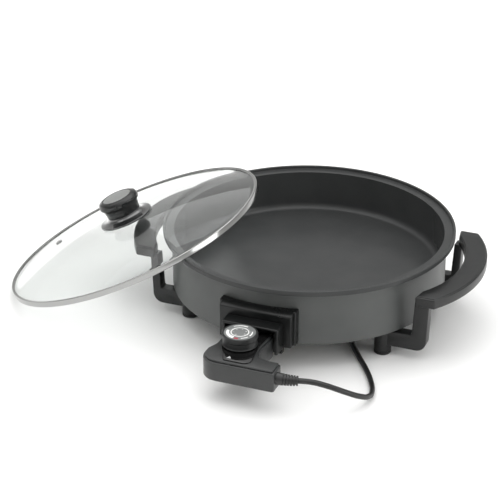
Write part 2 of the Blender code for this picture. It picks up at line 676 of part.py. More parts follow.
def build_handle(side, label, parent):
    holder = new_empty("handle_" + label + "_axis", parent, rotation=(0, 0, 0 if side > 0 else math.pi))
    grip = slab("grip_" + label, grip_outline(), GRIP_BOTTOM, GRIP_TOP, handle_black, holder)
    bevel(grip, GRIP_BEVEL)
    for end, post_width in ((-1, BROAD_POST), (1, SLIM_POST)):
        world_end = end * side
        where = ("front_" if world_end < 0 else "back_") + label
        post_outer = POST_INNER + post_width
        tenon_half = post_width * TENON_SHARE / 2
        post_middle = POST_INNER + post_width / 2
        leg_y = end * LEG_MID_Y
        outline = rounded([
            (POST_INNER, POST_TOP, 0),
            (post_outer, POST_TOP, 0),
            (post_outer - POST_LEAN, BAR_BOTTOM, POST_CORNER),
            (FOOT_X, BAR_BOTTOM, 0),
            (FOOT_X, BAR_TOP, 0),
            (POST_INNER - POST_LEAN, BAR_TOP, POST_INNER_CORNER),
        ])
        near = -leg_y - LEG_THICKNESS / 2
        leg = slab("leg_" + where, outline, near, near + LEG_THICKNESS, handle_black, holder, SIDEWAYS)
        foot = (FOOT_X, end * FOOT_Y, 0)
        column_low = PAD_HEIGHT + GAP
        join(leg, disc("column_" + where, FOOT_RADIUS, column_low, BOSS_UNDER - GAP, handle_black, holder,
                       foot, steps=FOOT_STEPS))
        tenon = block("tenon_" + where,
                      (post_middle - tenon_half, leg_y - TENON_DEPTH / 2, POST_TOP - OVERRUN),
                      (post_middle + tenon_half, leg_y + TENON_DEPTH / 2, POST_TOP + TENON_HEIGHT),
                      handle_black, holder)
        join(leg, tenon)
        pocket = block("pocket_" + where,
                       (post_middle - tenon_half - GAP, leg_y - TENON_DEPTH / 2 - GAP, GRIP_BOTTOM - OVERRUN),
                       (post_middle + tenon_half + GAP, leg_y + TENON_DEPTH / 2 + GAP,
                        POST_TOP + TENON_HEIGHT + GAP),
                       handle_black, holder)
        cut(grip, pocket)
        cut(leg, disc("leg_bore_" + where, LEG_SCREW_SHAFT + GAP, LEG_SCREW_SEAT - OVERRUN, FLOOR_UNDER,
                      handle_black, holder, foot))
        cut(leg, disc("counterbore_" + where, COUNTERBORE, column_low - OVERRUN, LEG_SCREW_SEAT,
                      handle_black, holder, foot))
        seat = (foot[0], foot[1], LEG_SCREW_SEAT - GAP)
        screw_piece("leg_screw_" + where, LEG_SCREW_HEAD, SCREW_HEAD_HEIGHT, LEG_SCREW_SHAFT,
                    BOSS_UNDER + LEG_SCREW_BITE - seat[2], screw_steel, holder, seat)
        build_pad("foot_pad_" + where, holder, foot)


def build_pad(name, parent, foot):
    stub = COUNTERBORE - GAP
    stub_top = PAD_HEIGHT + PAD_STUB_HEIGHT
    profile = [(0, stub_top), (stub, stub_top), (stub, PAD_HEIGHT), (FOOT_RADIUS, PAD_HEIGHT)]
    profile += arc(FOOT_RADIUS - PAD_ROUND, PAD_ROUND, PAD_ROUND, 0, -math.pi / 2, 3)
    profile += [(0, 0)]
    lathe(name, profile, pad_rubber, parent, foot, steps=FOOT_STEPS)


def sphere_height(radius, distance):
    """Height over the lid's foot of a sphere of this radius about the dome's centre."""
    centre = GLASS_TOP - GLASS_SPHERE
    return centre + math.sqrt(radius ** 2 - distance ** 2)


def build_lid(parent):
    inner_sphere = GLASS_SPHERE - GLASS
    steps_out = [GLASS_HOLE + (GLASS_DOME - GLASS_HOLE) * i / GLASS_RINGS for i in range(GLASS_RINGS + 1)]
    profile = [(r, sphere_height(GLASS_SPHERE, r)) for r in steps_out]
    profile += [(GLASS_EDGE, GLASS_EDGE_TOP), (GLASS_EDGE, GLASS_SEAT)]
    profile += [(r, sphere_height(inner_sphere, r)) for r in reversed(steps_out)]
    glass = lathe("lid_glass", profile, lid_glass, parent, steps=PAN_STEPS, ring=True)

    groove_low = GLASS_SEAT - GAP
    groove_high = GLASS_EDGE_TOP + GAP
    groove_radius = LID_RADIUS - BAND_WALL
    band = [(BAND_INNER, groove_high + BAND_SHEET), (LID_RADIUS - BAND_ROUND, BAND_HEIGHT),
            (LID_RADIUS, BAND_HEIGHT - BAND_ROUND), (LID_RADIUS, BAND_ROUND), (LID_FOOT_RADIUS, 0),
            (LID_CONTACT_RADIUS, 0), (BAND_INNER, BAND_ROUND), (BAND_INNER, groove_low),
            (groove_radius, groove_low), (groove_radius, groove_high), (BAND_INNER, groove_high)]
    lathe("lid_band", band, band_steel, parent, steps=PAN_STEPS, ring=True)

    vent_distance = math.hypot(VENT_X, VENT_Y)
    vent_tilt = math.asin(vent_distance / GLASS_SPHERE)
    vent_axis = new_empty("vent_axis", parent,
                          (VENT_X, VENT_Y, sphere_height(GLASS_SPHERE, vent_distance)),
                          (0, vent_tilt, math.atan2(VENT_Y, VENT_X)))
    cut(glass, disc("vent_hole", VENT_NECK + GAP, -GLASS - OVERRUN, OVERRUN, lid_glass, vent_axis))
    outer_face = GAP + VENT_SHEET
    inner_face = -GLASS - GAP - VENT_SHEET
    eyelet = [(VENT_BORE, outer_face), (VENT_FLANGE, outer_face), (VENT_FLANGE, GAP), (VENT_NECK, GAP),
              (VENT_NECK, -GLASS - GAP), (VENT_FLANGE, -GLASS - GAP), (VENT_FLANGE, inner_face),
              (VENT_BORE, inner_face)]
    lathe("vent_eyelet", eyelet, eyelet_steel, vent_axis, steps=SMALL_STEPS, ring=True)
    build_knob(parent)


def build_knob(parent):
    screw_hole = SCREW_SHAFT + 2 * GAP
    base_low = GLASS_TOP + GAP
    base_high = GLASS_TOP + KNOB_BASE_HEIGHT
    edge_low = sphere_height(GLASS_SPHERE, KNOB_BASE_RADIUS) + GAP
    edge_high = edge_low + KNOB_BASE_EDGE
    flare = KNOB_BASE_RADIUS - KNOB_FOOT_RADIUS
    drop = base_high - edge_high
    base = [(screw_hole, base_high), (KNOB_FOOT_RADIUS, base_high)]
    base += [(KNOB_FOOT_RADIUS + flare * out, base_high - drop * down) for out, down in BASE_SHARES]
    base += [(KNOB_BASE_RADIUS, edge_high), (KNOB_BASE_RADIUS, edge_low), (screw_hole, base_low)]
    lathe("knob_base", base, knob_black, parent, ring=True)

    foot = base_high + GAP
    seat = foot + KNOB_HEIGHT - INLAY_HEIGHT - GAP
    knob = [(0, seat), (INLAY_RADIUS + GAP, seat), (INLAY_RADIUS + GAP, foot + KNOB_HEIGHT)]
    knob += [(KNOB_RADIUS * out, foot + KNOB_HEIGHT * up) for out, up in KNOB_SHARES]
    knob += [(KNOB_FOOT_RADIUS, foot), (screw_hole, foot), (screw_hole, foot + KNOB_SCREW_BITE + GAP),
             (0, foot + KNOB_SCREW_BITE + GAP)]
    lathe("lid_knob", knob, knob_black, parent)
    disc("knob_inlay", INLAY_RADIUS, seat + GAP, seat + GAP + INLAY_HEIGHT, inlay_grey, parent,
         steps=PART_STEPS)

    washer_top = GLASS_TOP - GLASS - 2 * GAP
    washer_low = washer_top - WASHER_HEIGHT
    pipe("knob_washer", WASHER_RADIUS, screw_hole, washer_low, washer_top, washer_silicone, parent,
         steps=PART_STEPS)
    head_top = washer_low - GAP
    screw_piece("knob_screw", KNOB_SCREW_HEAD, SCREW_HEAD_HEIGHT, SCREW_SHAFT,
                foot + KNOB_SCREW_BITE - head_top, screw_steel, parent, (0, 0, head_top))


def inset(outline, distance):
    """The same outline moved inwards, for an outline that runs counter-clockwise seen from above."""
    points = [Vector(point) for point in outline]
    moved = []
    for i, point in enumerate(points):
        before = (point - points[i - 1]).normalized()
        after = (points[(i + 1) % len(points)] - point).normalized()
        inward = (before + after).normalized().orthogonal()
        reach = distance / math.cos(before.angle(after) / 2)
        moved.append(tuple(point + inward * reach))
    return moved


def controller_outline():
    """Plan of the controller: neck at the back, bar across the front and to the right."""
    return rounded([
        (PLUG_X + NECK_RIGHT, -NECK_REAR, NECK_CORNER),
        (PLUG_X - NECK_LEFT, -NECK_REAR, NECK_CORNER),
        (PLUG_X - NECK_LEFT, -FLANK_Y, FLANK_FILLET),
        (-BAR_LEFT, -TIP_Y, TIP_CORNER),
        (-BAR_LEFT, -BAR_FRONT_Y, NOSE_CORNER),
        (BAR_RIGHT, -BAR_FRONT_Y, EDGE_CORNER),
        (BAR_RIGHT, -BAR_REAR_Y, EDGE_CORNER),
        (NECK_WAIST, -BAR_REAR_Y, NECK_FILLET),
        (NECK_WAIST, -NECK_WAIST_Y, 0),
        (PLUG_X + NECK_RIGHT, -NECK_SHOULDER_Y, 0),
    ])


def build_controller(parent):
    tub = slab("controller_tub", controller_outline(), TUB_BOTTOM, TUB_TOP, controller_grey, parent)
    bevel(tub, TUB_EDGE, angle=math.radians(60))
    cut(tub, slab("tub_hollow", inset(controller_outline(), TUB_WALL), TUB_FLOOR, TUB_TOP + OVERRUN,
                  controller_grey, parent))
    for side in (-1, 1):
        at = (PLUG_X + side * PIN_SPACING / 2, 0, PIN_Z)
        cut(tub, disc(f"tub_pin_hole{side:+d}", PIN_RADIUS + 2 * GAP, NECK_REAR - OVERRUN,
                      NECK_REAR + TUB_WALL + OVERRUN, controller_grey, parent, at, SIDEWAYS))
    cut(tub, disc("tub_probe_hole", PROBE_RADIUS + GAP, NECK_REAR - OVERRUN,
                  NECK_REAR + TUB_WALL + OVERRUN, controller_grey, parent, (PLUG_X, 0, PROBE_Z), SIDEWAYS))
    cord_hole = (BAR_RIGHT - TUB_WALL - OVERRUN, CORD_Y, CORD_Z)
    cut(tub, disc("cord_hole", RELIEF_NECK + GAP, 0, TUB_WALL + 2 * OVERRUN, controller_grey, parent,
                  cord_hole, (0, math.pi / 2, 0)))

    cover_low = TUB_TOP + GAP
    cover_plan = inset(controller_outline(), COVER_INSET)
    cover = slab("controller_cover", cover_plan, cover_low, COVER_TOP, controller_grey, parent)
    bevel(cover, COVER_EDGE)
    for i, (x, y) in enumerate(zip(CONTROLLER_SCREW_X, CONTROLLER_SCREW_Y)):
        at = (x, y, 0)
        join(cover, disc(f"cover_boss_{i}", CONTROLLER_BOSS, TUB_FLOOR + GAP, cover_low + COVER_EDGE * 2,
                         controller_grey, parent, at))
        head_low = TUB_BOTTOM + GAP
        seat = head_low + CONTROLLER_SCREW_HEAD_HEIGHT
        cut(tub, disc(f"tub_screw_hole_{i}", SCREW_SHAFT + GAP, TUB_BOTTOM - OVERRUN, TUB_FLOOR + OVERRUN,
                      controller_grey, parent, at))
        cut(tub, disc(f"tub_counterbore_{i}", SCREW_HEAD + GAP, TUB_BOTTOM - OVERRUN, seat + GAP,
                      controller_grey, parent, at))
        cut(cover, disc(f"boss_bore_{i}", SCREW_SHAFT + GAP, TUB_BOTTOM,
                        TUB_FLOOR + CONTROLLER_SCREW_BITE + GAP, controller_grey, parent, at))
        screw_piece(f"controller_screw_{i + 1}", SCREW_HEAD, CONTROLLER_SCREW_HEAD_HEIGHT, SCREW_SHAFT,
                    TUB_FLOOR + CONTROLLER_SCREW_BITE - seat, screw_steel, parent, (x, y, seat))
    cut(cover, disc("cover_shaft_hole", SHAFT_RADIUS + 2 * GAP, cover_low - OVERRUN, COVER_TOP + OVERRUN,
                    controller_grey, parent, (DIAL_X, DIAL_Y, 0)))

    plate = slab("dial_plate", rounded([
        (PLUG_X + NECK_RIGHT - PLATE_INSET, -NECK_REAR - PLATE_INSET, PLATE_REAR_CORNER),
        (PLUG_X - NECK_LEFT + PLATE_INSET, -NECK_REAR - PLATE_INSET, PLATE_REAR_CORNER),
        (PLUG_X - NECK_LEFT + PLATE_INSET, -PLATE_SIDE_Y, 0),
        (-PLATE_FRONT_LEFT, -PLATE_FRONT_Y, PLATE_SMALL_CORNER),
        (PLATE_FRONT_RIGHT, -PLATE_FRONT_Y, PLATE_CORNER),
        (NECK_WAIST - PLATE_INSET, -PLATE_SIDE_Y, 0),
    ]), COVER_TOP + GAP, PLATE_TOP, plate_black, parent)
    join(plate, disc("dial_collar", COLLAR_RADIUS, PLATE_TOP - PLATE_HEIGHT / 2, PLATE_TOP + COLLAR_HEIGHT,
                     plate_black, parent, (DIAL_X, DIAL_Y, 0), steps=PART_STEPS))
    cut(plate, disc("plate_shaft_hole", SHAFT_RADIUS + 2 * GAP, COVER_TOP - OVERRUN, DIAL_BOTTOM + OVERRUN,
                    plate_black, parent, (DIAL_X, DIAL_Y, 0)))
    build_controller_inside(parent)


def build_controller_inside(parent):
    width, depth, height = SWITCH_SIZE
    block("thermostat_switch", (DIAL_X - width / 2, SWITCH_Y - depth, SWITCH_Z),
          (DIAL_X + width / 2, SWITCH_Y, SWITCH_Z + height), switch_ceramic, parent)
    rod_end = -SWITCH_Y - GAP
    rod = [(0, rod_end), (PROBE_RADIUS, rod_end), (PROBE_RADIUS, PROBE_TIP + PROBE_TIP_ROUND),
           (PROBE_RADIUS - PROBE_TIP_ROUND, PROBE_TIP), (0, PROBE_TIP)]
    lathe("probe_rod", rod, probe_steel, parent, (PLUG_X, 0, PROBE_Z), SIDEWAYS, SMALL_STEPS)
    sleeve_start = NECK_REAR + TUB_WALL + GAP
    for side, label in SIDES:
        at = (PLUG_X + side * PIN_SPACING / 2, 0, PIN_Z)
        pipe("contact_sleeve_" + label, SLEEVE_RADIUS, SLEEVE_BORE, sleeve_start,
             sleeve_start + SLEEVE_LENGTH, pin_nickel, parent, at, SIDEWAYS)
    width, depth, height = TERMINAL_SIZE
    block("terminal_block", (TERMINAL_X - width / 2, TERMINAL_Y - depth / 2, SWITCH_Z),
          (TERMINAL_X + width / 2, TERMINAL_Y + depth / 2, SWITCH_Z + height), terminal_cream, parent)


def build_dial(parent):
    """The dial's own frame stands on its axis, at the height of its underside."""
    bore_top = DIAL_BORE_DEPTH
    face_seat = DIAL_HEIGHT - DIAL_FACE_HEIGHT - GAP
    knob = [(0, face_seat), (DIAL_FACE_RADIUS + GAP, face_seat), (DIAL_FACE_RADIUS + GAP, DIAL_HEIGHT),
            (DIAL_RADIUS - DIAL_ROUND, DIAL_HEIGHT), (DIAL_RADIUS, DIAL_HEIGHT - DIAL_ROUND),
            (DIAL_RADIUS, DIAL_HEIGHT - DIAL_CAP_HEIGHT),
            (DIAL_SKIRT_RADIUS, DIAL_HEIGHT - DIAL_CAP_HEIGHT - DIAL_ROUND), (DIAL_SKIRT_RADIUS, 0),
            (SHAFT_RADIUS + GAP, 0), (SHAFT_RADIUS + GAP, bore_top), (0, bore_top)]
    lathe("dial_knob", knob, dial_grey, parent)
    disc("dial_face", DIAL_FACE_RADIUS, face_seat + GAP, DIAL_HEIGHT, dial_face_grey, parent,
         steps=PART_STEPS)
    shaft_low = SWITCH_Z + SWITCH_SIZE[2] + GAP - DIAL_BOTTOM
    disc("dial_shaft", SHAFT_RADIUS, shaft_low, bore_top - GAP, shaft_plastic, parent)


def relief_path():
    """The strain relief's centre line and radii: flange inside the wall, collar, ribs and tip."""
    inner = BAR_RIGHT - TUB_WALL - GAP
    outer = BAR_RIGHT + GAP
    marks = [(inner - RELIEF_FLANGE_LENGTH, RELIEF_FLANGE), (inner, RELIEF_FLANGE),
             (inner, RELIEF_NECK), (outer, RELIEF_NECK), (outer, RELIEF_COLLAR),
             (outer + RELIEF_COLLAR_LENGTH, RELIEF_COLLAR)]
    rib_start = outer + RELIEF_COLLAR_LENGTH
    rib_pitch = (RELIEF_LENGTH - RELIEF_COLLAR_LENGTH) / RELIEF_RIBS
    groove_end, rib_low, rib_high = RIB_SHARES
    for rib in range(RELIEF_RIBS):
        start = rib_start + rib * rib_pitch
        marks += [(start + rib_pitch * groove_end, RELIEF_GROOVE), (start + rib_pitch * rib_low, RELIEF_BODY),
                  (start + rib_pitch * rib_high, RELIEF_BODY)]
    marks.append((rib_start + RELIEF_RIBS * rib_pitch, RELIEF_GROOVE))
    points, radii = [], []
    for x, radius in marks:
        if points and abs(points[-1][0] - x) < MERGE:
            x += RELIEF_STEP
        share = max(0, (x - outer) / RELIEF_LENGTH)
        points.append((x, CORD_Y + RELIEF_BEND * share ** 2, CORD_Z))
        radii.append(radius)
    return points, radii


def coil_points():
    """Spirals in on the table, climbs a layer in half a turn and spirals out again."""
    turn_in = 2 * math.pi * COIL_TURNS
    total = 2 * turn_in + math.pi
    count = round(total / (2 * math.pi) * COIL_POINTS)
    straight = 2 * CORD_RADIUS
    points = [(COIL_RADIUS, -straight, 0)]
    for i in range(count + 1):
        angle = total * i / count
        climb = min(max((angle - turn_in) / math.pi, 0), 1)
        layer = climb * climb * (3 - 2 * climb)
        out = angle - turn_in - math.pi if angle > turn_in + math.pi else max(turn_in - angle, 0)
        radius = COIL_RADIUS - COIL_PITCH * (COIL_TURNS - out / (2 * math.pi))
        points.append((radius * math.cos(angle), radius * math.sin(angle), COIL_LIFT * layer))
    last = Vector(points[-1])
    points.append(tuple(last + Vector((0, -straight, 0))))
    return [(x, COIL_Y + y, CORD_REST_Z + z) for x, y, z in points]


def least_gap(points):
    """Smallest clear space between turns, measured on the points of the centre line."""
    skip = COIL_POINTS // 2
    nearest = min((Vector(a) - Vector(b)).length
                  for i, a in enumerate(points) for b in points[i + skip:])
    return nearest - 2 * CORD_RADIUS


def build_cord(parent):
    points, radii = relief_path()
    tube("strain_relief", points, radii, 3, relief_black, parent)
    heading = (Vector(points[-1]) - Vector(points[-2])).normalized()
    start = Vector(points[-1]) + heading * GAP
    straight = Vector((0, 2 * CORD_RADIUS, 0))
    coil = coil_points()
    coil_start = Vector(coil[0]) - Vector((0, GAP, 0))
    route = [start, start + heading * 2 * CORD_RADIUS] + CORD_ROUTE + [coil_start - straight, coil_start]
    cord, cord_length = smooth_path(route, CORD_STEP)
    tube("power_cord", cord, CORD_RADIUS, 2, cord_black, parent)
    tube("cord_coil", coil, CORD_RADIUS, 1, cord_black, parent)
    coil_length = sum((Vector(b) - Vector(a)).length for a, b in zip(coil, coil[1:]))
    tail_start = Vector(coil[-1]) - Vector((0, GAP, 0))
    tail_end = Vector((PLUG_END_X + GAP, PLUG_Y, PLUG_Z))
    before_end = tail_end + Vector((2 * CORD_RADIUS, 0, 0))
    tail_route = [tail_start, tail_start - straight] + TAIL_ROUTE + [before_end, tail_end]
    tail, tail_length = smooth_path(tail_route, CORD_STEP)
    tube("cord_tail", tail, CORD_RADIUS, 2, cord_black, parent)
    total = cord_length + coil_length + tail_length
    print(f"cord {total:.3f} m, least gap in the coil {least_gap(coil) * 1000:.2f} mm")

    axis = (0, -math.pi / 2, 0)
    at = (PLUG_END_X, PLUG_Y, PLUG_Z)
    body = [(0, PLUG_LENGTH)]
    body += [(PLUG_RADIUS * out, PLUG_LENGTH * along) for out, along in PLUG_SHARES]
    body += [(PLUG_NOSE, 0), (0, 0)]
    plug = lathe("plug_body", body, plug_black, parent, at, axis, FOOT_STEPS)
    for side, label in SIDES:
        pin_at = (PLUG_END_X, PLUG_Y + side * PLUG_PIN_SPACING / 2, PLUG_Z)
        seat = PLUG_LENGTH - PLUG_PIN_SEAT
        cut(plug, disc("plug_hole_" + label, PLUG_PIN_RADIUS + GAP, seat - GAP, PLUG_LENGTH + OVERRUN,
                       plug_black, parent, pin_at, axis))
        tip = PLUG_LENGTH + PLUG_PIN_LENGTH
        pin = [(0, tip), (PLUG_PIN_RADIUS - PIN_TIP, tip), (PLUG_PIN_RADIUS, tip - PIN_TIP),
               (PLUG_PIN_RADIUS, seat), (0, seat)]
        lathe("plug_pin_" + label, pin, pin_nickel, parent, pin_at, axis, SMALL_STEPS)


for old in list(bpy.data.objects):
    bpy.data.objects.remove(old, do_unlink=True)

parts = new_collection("electric_skillet")
cutters = new_collection("cutters")

pan_coating = new_material("pan_coating", 0x5A5C5B, 0.45, 0.1)
element_steel = new_material("element_steel", 0x8A8A88, 0.4, 1.0)
pin_nickel = new_material("pin_nickel", 0xC8C4BC, 0.25, 1.0)
guide_brass = new_material("guide_brass", 0xB09A5A, 0.35, 1.0)
screw_steel = new_material("screw_steel", 0xB4B4B4, 0.3, 1.0)
socket_black = new_material("socket_black", 0x232424, 0.4)
handle_black = new_material("handle_black", 0x3A3A3A, 0.45)
pad_rubber = new_material("pad_rubber", 0x1E1E1E, 0.7)
lid_glass = new_material("lid_glass", 0xDDE3E2, 0.05)
band_steel = new_material("band_steel", 0xC8C8C8, 0.2, 1.0)
eyelet_steel = new_material("eyelet_steel", 0x9A9A9A, 0.25, 1.0)
knob_black = new_material("knob_black", 0x2A2A2A, 0.3)
inlay_grey = new_material("inlay_grey", 0x9A9C9B, 0.4)
washer_silicone = new_material("washer_silicone", 0xD0D0D0, 0.6)
controller_grey = new_material("controller_grey", 0x585959, 0.4)
plate_black = new_material("plate_black", 0x161616, 0.15)
switch_ceramic = new_material("switch_ceramic", 0xE6E0D2, 0.6)
terminal_cream = new_material("terminal_cream", 0xD8D0BC, 0.5)
probe_steel = new_material("probe_steel", 0xC0C0C0, 0.25, 1.0)
dial_grey = new_material("dial_grey", 0x3A3B3B, 0.45)
dial_face_grey = new_material("dial_face_grey", 0x6C6E6D, 0.4)
shaft_plastic = new_material("shaft_plastic", 0xD8D8D8, 0.5)
relief_black = new_material("relief_black", 0x202020, 0.5)
cord_black = new_material("cord_black", 0x1C1C1C, 0.45)
plug_black = new_material("plug_black", 0x1F1F1F, 0.45)

skillet_axis = new_empty("skillet_axis", location=(PAN_AXIS_X, PAN_AXIS_Y, 0))
lid_axis = new_empty("lid_axis", skillet_axis, (LID_X, LID_Y, LID_Z), (0, LID_TILT, LID_AZIMUTH))
controller_axis = new_empty("controller_axis", skillet_axis)
dial_axis = new_empty("dial_axis", controller_axis, (DIAL_X, DIAL_Y, DIAL_BOTTOM))

build_pan(skillet_axis)
build_heater(skillet_axis)
build_socket(skillet_axis)
build_handle(1, "right", skillet_axis)
build_handle(-1, "left", skillet_axis)
build_lid(lid_axis)
build_controller(controller_axis)
build_dial(dial_axis)
build_cord(controller_axis)
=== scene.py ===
"""Looks of a round electric skillet with a loose glass lid and a plug-in thermostat.

Lengths are in metres. Pieces are made about the pan's own axis, with the table at z = 0, +X towards the
right handle and -Y towards the thermostat, and are then moved to where the frame has that axis.
"""

import math

import bmesh
import bpy
from mathutils import Matrix, Vector


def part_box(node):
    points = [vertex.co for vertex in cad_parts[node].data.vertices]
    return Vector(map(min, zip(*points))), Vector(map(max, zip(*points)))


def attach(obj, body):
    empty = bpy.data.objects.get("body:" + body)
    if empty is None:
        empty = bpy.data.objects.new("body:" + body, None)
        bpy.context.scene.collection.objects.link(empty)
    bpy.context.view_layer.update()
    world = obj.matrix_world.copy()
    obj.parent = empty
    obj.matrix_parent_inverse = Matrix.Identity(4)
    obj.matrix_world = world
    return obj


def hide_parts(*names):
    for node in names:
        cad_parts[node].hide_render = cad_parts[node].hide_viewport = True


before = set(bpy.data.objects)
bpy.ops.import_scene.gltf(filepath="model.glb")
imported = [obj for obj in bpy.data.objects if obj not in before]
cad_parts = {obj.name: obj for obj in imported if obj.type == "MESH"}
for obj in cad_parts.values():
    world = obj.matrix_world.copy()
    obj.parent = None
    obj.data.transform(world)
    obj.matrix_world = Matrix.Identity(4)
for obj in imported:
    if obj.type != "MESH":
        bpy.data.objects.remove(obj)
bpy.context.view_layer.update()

# General
GAP = 0.0003
MERGE = 0.00001
OVERRUN = 0.0020
FINE_STEPS = 192
PART_STEPS = 96
SMALL_STEPS = 40
CORNER_TURN = math.radians(9)
CREASE = math.radians(32)
HALF_TURN = math.pi
QUARTER = math.pi / 2

# Pan
RIM_RADIUS = 0.2000
RIM_TOP = 0.1220
LIP_WIDTH = 0.0035
LIP_ROUND = 0.0012
LIP_HEIGHT = 0.0070
LEDGE_DROP = 0.0045
LIP_FLARE = 0.0040
WALL_RADIUS = 0.1880
WALL = 0.0035
PAN_BOTTOM = 0.0380
PAN_CORNER = 0.0022
FLOOR_TOP = 0.0600
FLOOR_UNDER = 0.0560
FLOOR_FILLET = 0.0100
BOSS_RADIUS = 0.0090
BOSS_UNDER = 0.0500

# Heating element, pins and socket
ELEMENT_RADIUS = 0.0040
ELEMENT_RING_RADIUS = 0.1050
ELEMENT_GAP_ANGLE = math.radians(19.0)
ELEMENT_BEND = 0.0170
PIN_SPACING = 0.0380
PIN_RADIUS = 0.0025
PIN_START = 0.1725
PIN_Z = FLOOR_UNDER - GAP - ELEMENT_RADIUS
PROBE_Z = 0.0505
PROBE_BORE = 0.0041
PLUG_X = -0.0010
FLANGE_WIDTH = 0.1060
FLANGE_FRONT = 0.1925
FLANGE_TOP = 0.0912
HOOD_WIDTH = 0.1000
HOOD_FRONT = 0.2010
HOOD_FRONT_TOP = 0.0868
HOOD_BOTTOM = 0.0415
SOCKET_BACK = 0.1700
SHROUD_WIDTH = 0.0774
SHROUD_FRONT = 0.2205
SHROUD_TOP = 0.0762
SHROUD_BOTTOM = 0.0390
SHROUD_WALL = 0.0042
SHROUD_ROOF = 0.0030
SOCKET_WALL = 0.0050
TONGUE_BOTTOM = 0.0270
SOCKET_BEVEL = 0.0018
NOTCH_WIDTH = 0.0530
SOCKET_SCREW_SPACING = 0.0760
SOCKET_SCREW_Z = 0.0470

# Screws: head radius, head height, shaft radius and shaft length
SOCKET_SCREW = (0.0034, 0.0020, 0.0016, 0.0080)
LEG_SCREW = (0.0044, 0.0020, 0.0020, 0.0275)
KNOB_SCREW = (0.0060, 0.0020, 0.0016, 0.0250)
CONTROLLER_SCREW = (0.0034, 0.0014, 0.0016, 0.0100)
RECESS_SHARE = 0.26
SCREW_SIDES = 32
WASHER = 0.0020

# Handles
GRIP_OUTER_RADIUS = 0.1820
GRIP_INNER_RADIUS = 0.1540
GRIP_APEX = 0.2460
GRIP_WIDTH = 0.0305
GRIP_END_Y = 0.1070
GRIP_END_INNER = 0.1850
GRIP_END_BLOCK = 0.0200
GRIP_BOTTOM = 0.0840
GRIP_TOP = 0.0985
GRIP_STEP = 0.0011
GRIP_STEP_INSET = 0.0021
GRIP_BEVEL = 0.0018
GRIP_ARC_POINTS = 60
POST_INNER = 0.1830
BROAD_POST = 0.0195
SLIM_POST = 0.0110
POST_LEAN = 0.0030
POST_CORNER = 0.0140
POST_INNER_CORNER = 0.0030
POST_BEVEL = 0.0012
LEG_MID_Y = 0.0920
LEG_THICKNESS = 0.0160
BAR_BOTTOM = 0.0145
BAR_TOP = 0.0365
FOOT_X = 0.1390
FOOT_Y = 0.0925
FOOT_RADIUS = 0.0115
PAD_HEIGHT = 0.0045
PAD_ROUND = 0.0016
PAD_STUB = 0.0075
LEG_BORE = 0.0023
COUNTERBORE = 0.0050
LEG_SCREW_SEAT = 0.0277

# Lid
LID_RADIUS = 0.1879
LID_PLACE = (-0.24552, -0.038008, 0.075165)
LID_TILT = math.radians(23.6)
LID_AZIMUTH = math.radians(188.8)
BAND_HEIGHT = 0.0084
BAND_WALL = 0.0020
BAND_LIP = 0.0040
BAND_SHEET = 0.0009
BAND_ROUND = 0.0010
GLASS = 0.0036
GLASS_SEAT = 0.0030
GLASS_TOP = 0.0324
GLASS_SPHERE = 0.66158
GLASS_DOME = 0.1830
GLASS_EDGE = 0.1857
GLASS_ROUND = 0.0014
GLASS_HOLE = 0.0022
GLASS_RINGS = 28
VENT_X = 0.1235
VENT_Y = -0.0200
VENT_NECK = 0.0036
VENT_FLANGE = 0.0052
VENT_BORE = 0.0022
VENT_SHEET = 0.0012
KNOB_BASE_RADIUS = 0.0380
KNOB_BASE_EDGE = 0.0026
KNOB_BASE_HEIGHT = 0.0085
KNOB_RADIUS = 0.0292
KNOB_FOOT_RADIUS = 0.0238
KNOB_HEIGHT = 0.0246
INLAY_RADIUS = 0.0204
INLAY_HEIGHT = 0.0009

# Controller
TUB_BOTTOM = 0.0328
TUB_TOP = 0.0592
COVER_TOP = 0.0623
COVER_INSET = 0.0026
TUB_WALL = 0.0034
TUB_EDGE = 0.0016
COVER_EDGE = 0.0009
NECK_REAR = 0.2065
NECK_LEFT = 0.0327
NECK_RIGHT = 0.0305
NECK_WAIST = 0.0266
NECK_SHOULDER_Y = 0.2190
NECK_WAIST_Y = 0.2420
NECK_CORNER = 0.0080
BAR_REAR_Y = 0.2710
BAR_FRONT_Y = 0.2993
BAR_RIGHT = 0.0625
BAR_LEFT = 0.0400
TIP_Y = 0.2690
FLANK_Y = 0.2540
EDGE_CORNER = 0.0036
NECK_FILLET = 0.0180
NOSE_CORNER = 0.0230
TIP_CORNER = 0.0050
FLANK_FILLET = 0.0200
CONTROLLER_SCREWS = [(-0.0230, -0.2780), (0.0330, -0.2830)]
TUB_COUNTERBORE = 0.0037
TUB_COUNTERSINK = 0.0020
PLATE_HEIGHT = 0.0012
COLLAR_HEIGHT = 0.0012
COLLAR_RADIUS = 0.0205
PLATE_INSET = 0.0040
PLATE_REAR_CORNER = 0.0050
PLATE_SIDE_Y = 0.2450
PLATE_FRONT_Y = 0.2930
PLATE_FRONT_LEFT = 0.0080
PLATE_FRONT_RIGHT = 0.0285
PLATE_CORNER = 0.0100
PLATE_SMALL_CORNER = 0.0040
PLATE_EDGE = 0.0004
PLATE_TOP = COVER_TOP + GAP + PLATE_HEIGHT

